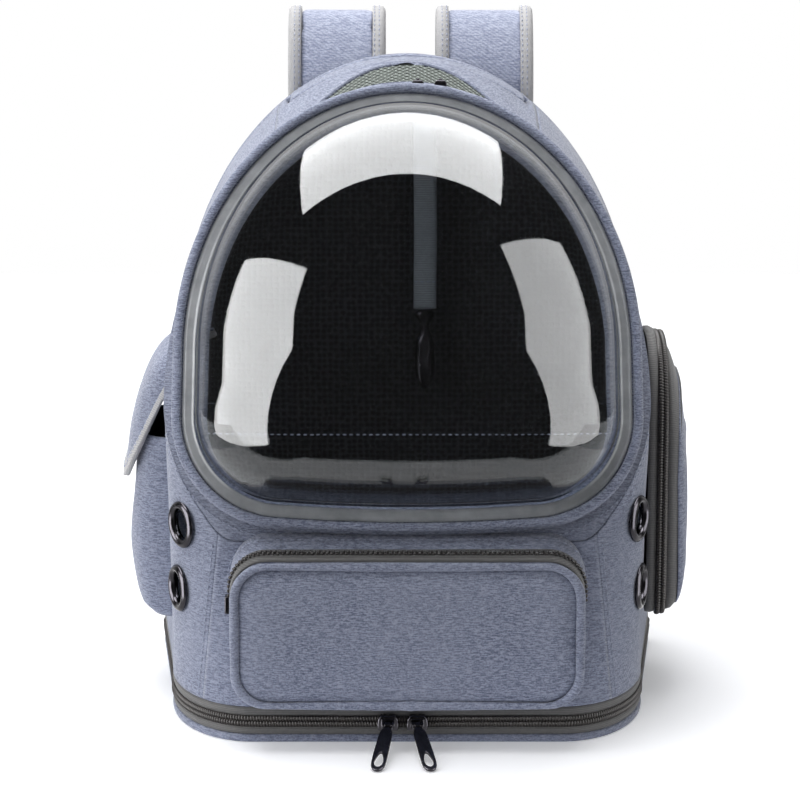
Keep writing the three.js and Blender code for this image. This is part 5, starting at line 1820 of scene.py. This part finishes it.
pocket_plate = [(-4.6, -5.6), (4.6, -5.6), (4.9, 0), (4.2, 5.6), (-4.2, 5.6), (-4.9, 0)]
pocket_slide = slab("pocket_slide", pocket_plate, 113.2, 116.4,
                    lambda a, b, h: (-h, -131.8 + a, 97.7 + b))
rounded(pocket_slide, 0.7)
pocket_slide.name = "front_pocket_zip_slider"
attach(pocket_slide, "bag")
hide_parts("front_pocket_slider")
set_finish(pocket_slide, "black_metal")
case_plate = [(-3.9, 166.1), (3.9, 166.1), (4.0, 170), (3.4, 174.3), (-3.4, 174.3), (-4.0, 170)]
case_slide = slab("case_slide", case_plate, 52.1, 56.8,
                  lambda a, b, h: (b, 26 + a, h))
rounded(case_slide, 0.7)
case_slide.name = "right_case_zip_slider"
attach(case_slide, "bag")
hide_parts("right_pocket_slider")
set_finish(case_slide, "black_metal")


# The studio: a white sweep under even white light, brighter from above and from the left.
# Three soft panels stand in front, and only gloss shows them, as the photograph's dome does.
world = bpy.data.worlds.new("studio")
world.use_nodes = True
bpy.context.scene.world = world
bpy.context.scene.view_settings.view_transform = "Standard"
sky = world.node_tree
backdrop = sky.nodes["Background"]
backdrop.inputs["Color"].default_value = (1, 1, 1, 1)
# The camera sees a white sweep; what the gloss mirrors is dark in front and white behind.
ray = add(sky, "ShaderNodeLightPath")
way = add(sky, "ShaderNodeSeparateXYZ", {"Vector": add(sky, "ShaderNodeTexCoord").outputs["Generated"]})
behind = add(sky, "ShaderNodeMapRange", {"Value": way.outputs["Y"], "From Min": 0.5, "From Max": 0.97,
                                         "To Min": 0.032, "To Max": 0.9}, interpolation_type="SMOOTHSTEP")
side = add(sky, "ShaderNodeMapRange", {"Value": way.outputs["X"], "From Min": -1.0, "From Max": 1.0,
                                       "To Min": 0.66, "To Max": 0.12})
soft = add(sky, "ShaderNodeMix", {"Factor": ray.outputs["Is Glossy Ray"], "A": side.outputs["Result"],
                                  "B": behind.outputs["Result"]})
seen = add(sky, "ShaderNodeMix", {"Factor": ray.outputs["Is Camera Ray"], "A": soft, "B": 1.0})
sky.links.new(seen.outputs["Result"], backdrop.inputs["Strength"])


def light(name, spot, aim, wide, tall, strength, gloss_only=False, roll=0.0, matt_only=False):
    """A rectangular soft light that faces a point, of a strength in watts a square metre."""
    lamp = bpy.data.lights.new(name, "AREA")
    lamp.shape = "RECTANGLE"
    lamp.size = wide
    lamp.size_y = tall
    lamp.energy = strength * wide * tall
    stand = bpy.data.objects.new(name, lamp)
    stand.location = spot
    turn = (Vector(aim) - Vector(spot)).to_track_quat("-Z", "Y").to_matrix().to_4x4()
    stand.rotation_euler = (turn @ Matrix.Rotation(roll, 4, "Z")).to_euler()
    stand.visible_diffuse = not gloss_only
    stand.visible_transmission = not matt_only
    stand.visible_glossy = not matt_only
    bpy.context.scene.collection.objects.link(stand)
    return stand


light("overhead", (-0.3, 0.1, 2.4), (0, 0, 0.2), 2.4, 1.8, 15, matt_only=True)
light("key_left", (-2.0, -1.6, 1.3), (0, 0, 0.2), 1.4, 1.4, 7, matt_only=True)
light("panel_top", (-0.1, 0.57, 2.0), (-0.1, 0.57, 0), 2.45, 2.1, 21, gloss_only=True)
light("panel_left", (-1.305, -0.29, 0.38), (-0.605, 0.42, 0.38), 1.53, 1.62, 20, gloss_only=True)
light("panel_right", (1.305, -0.29, 0.48), (0.605, 0.42, 0.48), 1.45, 1.85, 12, gloss_only=True)
sheen = light("table_sheen", (0, 0.59, -0.004), (0, 0.59, 1), 0.9, 1.7, 1.8, gloss_only=True)
sheen.visible_camera = False

# A sweep of white matt paper, lit from below so that it burns out as in the photograph. Gloss
# doesn't mirror it: a lit strip behind the bag's foot stands for it there.
SWEEP, _, sweep_main = finish("matt_paper_sweep", Roughness=0.95)
sweep_main.inputs["Base Color"].default_value = linear("#f4f5f8")
sweep_main.inputs["Emission Color"].default_value = (1, 1, 1, 1)
sweep_main.inputs["Emission Strength"].default_value = 0.22
floor = made("floor", [(-900, -260, 0), (900, -260, 0), (900, 1500, 0), (-900, 1500, 0)], [(0, 1, 2, 3)],
             SWEEP, smooth=False)
floor.visible_glossy = False

# Each piece takes its finish from the record's slot for what it is made of.
SLOTS = {CLOTH: "cloth", LIT_STRAP_CLOTH: "cloth", LEASH_WEB: "webbing", LINING: "cloth", THREAD: "cloth",
         BINDING: "binding", TAPE: "zip_tape", COIL: "zip_coil",
         SPACER: "air_mesh", MESH_YARN: "air_mesh", BLACK_NICKEL: "black_metal", WEBBING: "webbing",
         ACETAL: "buckle"}
slot_named = {material.name: slot for material, slot in SLOTS.items()}
for piece in bpy.data.objects:
    first = piece.data.materials[0] if piece.type == "MESH" and piece.data.materials else None
    if first and first.name in slot_named and "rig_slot" not in piece:
        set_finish(piece, slot_named[first.name])
